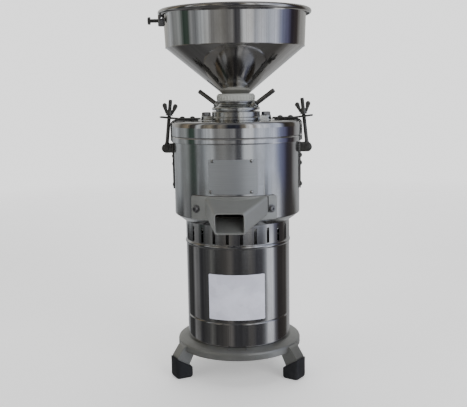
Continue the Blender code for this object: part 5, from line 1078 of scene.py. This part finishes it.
def make_casing():
    """Polished tube with a ring of slots, a bead and a seam groove."""
    pitch = 360.0 / SLOT_COUNT
    slot = math.degrees(SLOT_WIDTH / CASING_RADIUS)
    angles = []
    for i in range(SLOT_COUNT):
        centre = -90.0 + pitch * (i + 0.5)
        angles += [(centre - slot / 2, True), (centre, True)]
        free = pitch - slot
        angles += [(centre + slot / 2 + free * k / 6, False) for k in range(6)]
    slot_bottom = SLOT_TOP - SLOT_HEIGHT
    outline = [(-0.0006, CASING_BOTTOM), (0.0, CASING_BOTTOM + 0.0008), (0.0, CASING_BOTTOM + 0.0016)]
    groove = ((0.0, -0.0026), (0.0, -0.0018), (-0.0005, -0.0009), (-0.0011, 0.0), (-0.0005, 0.0009),
              (0.0, 0.0018), (0.0, 0.0026))
    outline += [(out, GROOVE_LEVEL + rise) for out, rise in groove]
    outline += [(0.0, BEAD_LEVEL - 0.0048), (0.0, BEAD_LEVEL - 0.004)]
    outline += [(0.0017 * x, BEAD_LEVEL + 0.0034 * y) for x, y in arc((0.0, 0.0), 1.0, -75.0, 75.0, 10)]
    outline += [(0.0, BEAD_LEVEL + 0.004), (0.0, BEAD_LEVEL + 0.0048)]
    outline += [(0.0, slot_bottom), (0.0, SLOT_TOP), (0.0, CASING_TOP)]
    profile = [(CASING_RADIUS + out, level) for out, level in outline]

    def build(shape):
        columns = []
        for angle, opening in angles:
            a = math.radians(angle)
            column = [shape.verts.new((r * math.cos(a), r * math.sin(a), z)) for r, z in profile]
            columns.append((column, opening))
        for i, (column, opening) in enumerate(columns):
            following = columns[(i + 1) % len(columns)][0]
            for k in range(len(profile) - 1):
                in_slot = opening and abs(profile[k][1] - slot_bottom) < 1e-6
                if not in_slot:
                    shape.faces.new((column[k], following[k], following[k + 1], column[k + 1]))
    tube = as_object(build, "motor_casing_tube")
    wall = tube.modifiers.new("Wall", "SOLIDIFY")
    wall.thickness = CASING_WALL
    wall.offset = -1.0
    tube = baked(tube)
    near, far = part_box("switch_housing")
    opening = block("opening", (far[0] - near[0] - 0.0045, 0.05, far[2] - near[2] - 0.0045),
                    shift(y=CASING_RADIUS, z=middle("switch_housing")), edge=0.0)
    hole = plug(0.0078, 0.09, 0.12, shift(z=middle("cable_gland")) @ turn(-90.0, "X"))
    tube = cut(tube, opening, hole)
    finished(tube, CASING_STEEL, "housing", "polished_steel", "motor_casing")


def make_label():
    """Bare white label wrapped on the casing."""
    bottom, top = low("casing_label"), high("casing_label")
    label = curved_sheet("casing_label_film", CASING_RADIUS + GAP, 0.0004, bottom, top - bottom,
                         -29.5, 32.5, 0.0008)
    finished(label, LABEL_FILM, "housing", "label_film", "casing_label")


def make_base():
    """Domed casting on three legs, with two small screws in its deck."""
    spigot, seat = CASING_RADIUS - CASING_WALL - 0.0005, CASING_RADIUS + 0.0025
    hole, skirt, under = 0.056, BASE_RADIUS - 0.008, DECK - 0.008
    disc = lathe("base_casting_disc", [
        (hole, DECK, 0.001), (spigot - 0.0045, DECK), (spigot - 0.0045, DECK + 0.006),
        (spigot, DECK + 0.006), (spigot, DECK), (seat, DECK, 0.002), (seat + 0.0095, DECK - 0.0022, 0.01),
        (BASE_RADIUS - 0.001, RIM_TOP - 0.001, 0.003), (BASE_RADIUS, RIM_TOP - 0.0045, 0.002),
        (BASE_RADIUS, RIM_BOTTOM + 0.001, 0.0018), (BASE_RADIUS - 0.0025, RIM_BOTTOM, 0.001),
        (skirt, RIM_BOTTOM, 0.001), (skirt, DECK - 0.0125, 0.004), (seat, under, 0.004),
        (hole, under, 0.001)])
    finished(disc, GREY_CASTING, "housing", "cast_aluminium", "base_casting")
    toe_outer, toe_inner, sole = 0.1452, 0.1232, 0.0083
    leg = [(0.1105, 0.0665), (0.1215, 0.0672, 0.004), (0.1310, 0.0640, 0.008), (toe_outer, 0.0430, 0.006),
           (toe_outer, sole, 0.001), (toe_inner, sole, 0.001), (0.1202, 0.0270, 0.008),
           (0.1105, 0.0470, 0.006), (0.1040, 0.0600)]
    legs = [slab("leg", leg, 0.0292, turn(side) @ turn(90.0, "X"), edge=0.0034) for _, side in LEG_SIDES]
    finished(joined("base_casting_legs", *legs), GREY_CASTING, "housing", "cast_aluminium", "base_casting")
    screws = []
    for angle in (-7.5, 10.6):
        screws.append(rivet(0.0028, 0.0016, turn(-90.0 + angle) @ shift(x=0.1125, z=DECK - 0.0008)))
    finished(joined("deck_screws", *screws), SCREW_STEEL, "housing", "plain_steel")


def make_feet():
    """Moulded rubber boots, higher outside than inside."""
    for name, side in LEG_SIDES:
        shell = boot("rubber_foot_moulded_" + name, turn(side))
        finished(shell, BLACK_RUBBER, "housing", "black_rubber", "rubber_foot_" + name)


def boot(name, about):
    """One boot: rounded skirt, slanting top edge and a pocket for the leg."""
    reach, length, width, wall = 0.131, 0.036, 0.037, 0.0034
    slope = (0.043 - 0.021) / length

    def ring(inset, height=None, drop=0.0):
        corner = max(0.008 - inset, 0.0015)
        points = soften(rounded_box_outline(length - 2 * inset, width - 2 * inset, corner))
        made = []
        for x, y in points:
            z = 0.032 + slope * x - drop if height is None else height
            made.append((reach + x, y, z))
        return made
    rings = [ring(0.0046, 0.0), ring(0.0028, 0.0004), ring(0.0013, 0.0016), ring(0.0003, 0.0036),
             ring(0.0, 0.006), ring(0.0, drop=0.006), ring(0.0, drop=0.0009), ring(0.0009),
             ring(wall - 0.0008), ring(wall, drop=0.0008), ring(wall, 0.009), ring(wall, 0.008)]
    shell = through(name, rings)
    shell.data.transform(about)
    return shell


def make_back():
    """Rocker switch and cable gland on the back of the casing."""
    near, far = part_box("switch_housing")
    level = middle("switch_housing")
    width, height = far[0] - near[0], far[2] - near[2]
    bezel = slab("bezel", rounded_box_outline(width, height, 0.002), 0.003,
                 shift(y=far[1] - 0.0015, z=level) @ turn(90.0, "X"), edge=0.0008)
    body = block("body", (width - 0.005, far[1] - near[1] - 0.001, height - 0.005),
                 shift(y=(near[1] + far[1]) / 2 - 0.0005, z=level))
    well = block("well", (width - 0.009, 0.022, height - 0.009), shift(y=far[1], z=level), edge=0.0)
    housing = cut(joined("switch_housing_moulded", bezel, body), well)
    finished(housing, BLACK_PLASTIC, "housing", "black_plastic", "switch_housing")
    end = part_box("cable_gland")[1][1]
    at = shift(z=middle("cable_gland")) @ turn(-90.0, "X")
    face = CASING_RADIUS + GAP
    nut = hexagon_head("nut", 0.019, 0.007, at @ shift(z=face))
    dome = lathe("dome", [(0.0, face - 0.01), (0.0, face + 0.012), (0.0035, face + 0.012), (0.0035, end),
                          (0.0056, end, 0.001), (0.0077, face + 0.010, 0.003), (0.0077, face + 0.006),
                          (0.0075, face - 0.01)], SMALL_ROUND, at)
    gland = joined("cable_gland_moulded", nut, dome)
    finished(gland, BLACK_PLASTIC, "housing", "black_plastic", "cable_gland")


def dress_cad():
    """Procedural materials for the CAD nodes that stay in view."""
    looks = {
        TURNED_STEEL: ("feed_sleeve", "motor_shaft", "upper_bearing", "lower_bearing"),
        DISC_STONE: ("fixed_disc", "rotating_disc"),
        SCREW_STEEL: ("impeller", "shaft_nut"),
        SEAL_RUBBER: ("shaft_seal", "cover_gasket"),
        GREY_CASTING: ("chamber_bowl", "upper_end_shield", "lower_end_shield"),
        LAMINATIONS: ("rotor_core", "stator_core"),
        COPPER_WIRE: ("winding_upper", "winding_lower"),
        BLACK_PLASTIC: ("cooling_fan", "switch_rocker"),
        CAN_ALUMINIUM: ("run_capacitor",),
    }
    for look, nodes in looks.items():
        for node in nodes:
            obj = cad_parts[node]
            obj.data.materials.clear()
            obj.data.materials.append(look)


# Room, light and camera.

# What the polished steel mirrors at three heights. Each entry is an azimuth in degrees from the front,
# towards +X, and the tone found there.
HIGH_BANDS = (
    (-180, (0.62, 0.62, 0.6)), (-140, (0.56, 0.55, 0.52)), (-120, (0.38, 0.37, 0.33)),
    (-110, (0.13, 0.12, 0.1)), (-92, (0.34, 0.28, 0.2)), (-84, (0.05, 0.05, 0.045)),
    (-74, (0.09, 0.08, 0.07)), (-69, (0.55, 0.58, 0.6)), (-63, (0.5, 0.5, 0.48)), (-59, (0.13, 0.12, 0.1)),
    (-42, (0.33, 0.29, 0.22)), (-33, (0.05, 0.05, 0.05)), (-26, (0.26, 0.23, 0.19)),
    (-18, (0.2, 0.19, 0.17)), (-11, (0.03, 0.032, 0.045)), (9, (0.035, 0.035, 0.05)),
    (14, (0.2, 0.18, 0.15)), (20, (0.3, 0.27, 0.22)), (24, (0.9, 0.92, 0.95)), (30, (1.0, 1.0, 1.0)),
    (35, (0.4, 0.38, 0.36)), (43, (1.0, 1.03, 1.1)), (61, (0.9, 0.94, 1.05)), (66, (0.6, 0.64, 0.78)),
    (84, (0.85, 0.92, 1.1)), (90, (0.3, 0.32, 0.42)), (98, (0.04, 0.035, 0.03)), (124, (0.1, 0.085, 0.07)),
    (134, (0.42, 0.42, 0.42)), (180, (0.62, 0.62, 0.6)),
)
MIDDLE_BANDS = (
    (-180, (0.58, 0.6, 0.62)), (-140, (0.42, 0.44, 0.45)), (-126, (0.62, 0.65, 0.68)),
    (-112, (0.25, 0.26, 0.26)), (-98, (0.4, 0.42, 0.42)), (-86, (0.05, 0.075, 0.06)),
    (-76, (0.06, 0.085, 0.07)), (-70, (0.36, 0.37, 0.38)), (-62, (0.2, 0.21, 0.22)),
    (-50, (0.55, 0.58, 0.6)), (-40, (0.62, 0.64, 0.65)), (-34, (0.24, 0.24, 0.24)),
    (-20, (0.36, 0.36, 0.35)), (-8, (0.22, 0.22, 0.22)), (0, (0.3, 0.3, 0.3)), (4, (0.07, 0.07, 0.08)),
    (12, (0.12, 0.12, 0.13)), (17, (0.8, 0.83, 0.86)), (30, (0.95, 0.97, 1.0)), (36, (0.45, 0.48, 0.54)),
    (45, (0.85, 0.89, 0.98)), (60, (0.6, 0.65, 0.76)), (72, (0.82, 0.87, 1.02)), (84, (0.3, 0.33, 0.5)),
    (98, (0.14, 0.14, 0.24)), (106, (0.04, 0.035, 0.05)), (122, (0.07, 0.06, 0.06)), (134, (0.4, 0.4, 0.4)),
    (180, (0.58, 0.6, 0.62)),
)
LOW_BANDS = (
    (-180, (0.52, 0.53, 0.54)), (-150, (0.42, 0.43, 0.44)), (-138, (0.08, 0.08, 0.08)),
    (-118, (0.05, 0.05, 0.05)), (-108, (0.3, 0.3, 0.3)), (-98, (0.22, 0.22, 0.22)),
    (-88, (0.05, 0.05, 0.055)), (-66, (0.09, 0.09, 0.09)), (-58, (0.2, 0.2, 0.19)),
    (-48, (0.06, 0.06, 0.06)), (-24, (0.1, 0.095, 0.09)), (-14, (0.19, 0.18, 0.17)),
    (-4, (0.06, 0.06, 0.065)), (22, (0.08, 0.08, 0.085)), (30, (0.16, 0.155, 0.15)),
    (44, (0.07, 0.07, 0.08)), (58, (0.1, 0.1, 0.11)), (66, (0.3, 0.31, 0.33)), (72, (0.95, 0.98, 1.04)),
    (86, (1.0, 1.03, 1.1)), (92, (0.25, 0.25, 0.28)), (102, (0.05, 0.045, 0.045)),
    (134, (0.08, 0.075, 0.07)), (146, (0.4, 0.4, 0.4)), (180, (0.52, 0.53, 0.54)),
)

# Heights of a line of sight between which one row of bands turns into the row below it.
HIGH_TO_MIDDLE = (0.03, -0.01)
MIDDLE_TO_LOW = (-0.155, -0.185)

# Brightness of the room behind the object and of the floor's own glow, and where the floor fades out.
ROOM_PALE = 1.75
FLOOR_GLOW = 0.4
FLOOR_RADIUS = 6.0
FLOOR_FADE = (1.3, 3.4)


def band_ramp(tree, share, bands):
    """Colour ramp round the room, one stop for each band edge."""
    ramp = tree.nodes.new("ShaderNodeValToRGB")
    stops = ramp.color_ramp.elements
    stops.remove(stops[1])
    for i, (angle, tone) in enumerate(bands):
        position = (angle + 180.0) / 360.0
        stop = stops.new(position) if i else stops[0]
        stop.position = position
        stop.color = (*tone, 1.0)
    wire(tree, (share, ramp.inputs["Fac"]))
    return ramp.outputs["Color"]


def make_room():
    """Pale surroundings for the camera, banded walls for the reflections."""
    world = bpy.data.worlds.new("Room")
    bpy.context.scene.world = world
    world.use_nodes = True
    tree = world.node_tree
    tree.nodes.clear()
    toward = tree.nodes.new("ShaderNodeTexCoord").outputs["Generated"]
    split = tree.nodes.new("ShaderNodeSeparateXYZ")
    behind = add(tree, "ShaderNodeMath", operation="MULTIPLY")
    behind.inputs[1].default_value = -1.0
    azimuth = add(tree, "ShaderNodeMath", operation="ARCTAN2")
    wire(tree, (toward, split.inputs[0]), (split.outputs["Y"], behind.inputs[0]),
         (split.outputs["X"], azimuth.inputs[0]), (behind.outputs[0], azimuth.inputs[1]))
    share = remap(tree, azimuth.outputs[0], -math.pi, math.pi, 0.0, 1.0)
    height = split.outputs["Z"]
    low_part = remap(tree, height, *MIDDLE_TO_LOW, 0.0, 1.0)
    middle_part = remap(tree, height, *HIGH_TO_MIDDLE, 0.0, 1.0)
    high_row, middle_row, low_row = (
        band_ramp(tree, share, bands) for bands in (HIGH_BANDS, MIDDLE_BANDS, LOW_BANDS))
    tone = blend_colour(tree, middle_part, high_row, middle_row)
    tone = blend_colour(tree, low_part, tone, low_row)
    streaks = tree.nodes.new("ShaderNodeCombineXYZ")
    wire(tree, (azimuth.outputs[0], streaks.inputs[0]), (height, streaks.inputs[2]))
    streaks = noise(tree, stretched(tree, streaks.outputs[0], (24, 1, 1.5)), 1.0, 4.0, 0.7)
    streaks = remap(tree, streaks, 0.35, 0.65, 0.62, 1.25)
    tone = blend_colour(tree, 1.0, tone, streaks, "MULTIPLY")
    up = remap(tree, height, 0.3, 0.85, 0.0, 0.8)
    down = remap(tree, height, -0.45, -0.95, 0.0, 0.8)
    tone = blend_colour(tree, up, tone, (0.2, 0.2, 0.2, 1.0))
    tone = blend_colour(tree, down, tone, (0.1, 0.1, 0.1, 1.0))
    walls = tree.nodes.new("ShaderNodeBackground")
    pale = tree.nodes.new("ShaderNodeBackground")
    pale.inputs["Color"].default_value = (ROOM_PALE, ROOM_PALE, ROOM_PALE, 1.0)
    mix = tree.nodes.new("ShaderNodeMixShader")
    path = tree.nodes.new("ShaderNodeLightPath")
    out = tree.nodes.new("ShaderNodeOutputWorld")
    wire(tree, (tone, walls.inputs["Color"]), (path.outputs["Is Camera Ray"], mix.inputs[0]),
         (walls.outputs[0], mix.inputs[1]), (pale.outputs[0], mix.inputs[2]),
         (mix.outputs[0], out.inputs["Surface"]))


def make_floor():
    """Plain pale floor that fades into the pale room."""
    def build(shape):
        bmesh.ops.create_circle(shape, cap_ends=True, segments=96, radius=FLOOR_RADIUS)
    floor = as_object(build, "floor")
    look = bpy.data.materials.new("Pale floor")
    look.use_nodes = True
    tree = look.node_tree
    shader = tree.nodes["Principled BSDF"]
    shader.inputs["Roughness"].default_value = 0.9
    shader.inputs["Emission Color"].default_value = (1.0, 1.0, 1.0, 1.0)
    shader.inputs["Emission Strength"].default_value = FLOOR_GLOW
    place = tree.nodes.new("ShaderNodeTexCoord").outputs["Object"]
    reach = add(tree, "ShaderNodeVectorMath", operation="LENGTH")
    tone = remap(tree, noise(tree, place, 3.0), 0.3, 0.7, 0.88, 0.91)
    wire(tree, (place, reach.inputs[0]), (tone, shader.inputs["Base Color"]),
         (remap(tree, reach.outputs["Value"], *FLOOR_FADE, 1.0, 0.0), shader.inputs["Alpha"]))
    floor.data.materials.append(look)
    floor.visible_glossy = False


def add_light(name, place, aim, size, power):
    """Soft area light that neither the camera nor a mirror sees."""
    data = bpy.data.lights.new(name, "AREA")
    data.shape = "RECTANGLE"
    data.size, data.size_y = size
    data.energy = power
    light = linked(name, data)
    light.location = place
    light.rotation_euler = (Vector(aim) - Vector(place)).to_track_quat("-Z", "Y").to_euler()
    light.visible_glossy = False
    light.visible_camera = False


def make_studio():
    """Large soft lights: window side, fill side and above."""
    heart = (0.0, 0.0, 0.35)
    add_light("window_light", (1.7, -1.9, 1.3), heart, (1.4, 1.6), 34.0)
    add_light("fill_light", (-2.0, -1.4, 1.0), heart, (1.6, 1.6), 14.0)
    add_light("top_light", (0.0, 0.4, 2.6), heart, (2.2, 2.2), 40.0)
    add_light("floor_light", (0.0, 2.5, 2.2), (0.0, 1.5, 0.0), (3.0, 2.0), 50.0)


def make_camera():
    """Camera at the photograph's place and angle."""
    data = bpy.data.cameras.new("Photograph")
    data.sensor_width = 36.0
    data.lens = 58.59
    camera = linked("Photograph", data)
    heading, tilt, roll = 4.0, 8.46, -0.91
    view = shift(0.0994, -1.5355, 0.5735) @ turn(heading) @ turn(90.0 - tilt, "X") @ turn(roll)
    camera.location = view.to_translation()
    camera.rotation_euler = view.to_euler()
    bpy.context.scene.camera = camera


def main():
    """Dress every node and set the stage."""
    make_camera()
    make_room()
    make_floor()
    make_studio()
    make_hopper()
    make_clamp_bracket()
    make_ring_nut()
    make_collar()
    make_hub()
    make_cover()
    make_clamps()
    make_spout()
    make_drum()
    make_nameplate()
    make_casing()
    make_label()
    make_base()
    make_feet()
    make_back()
    dress_cad()


main()
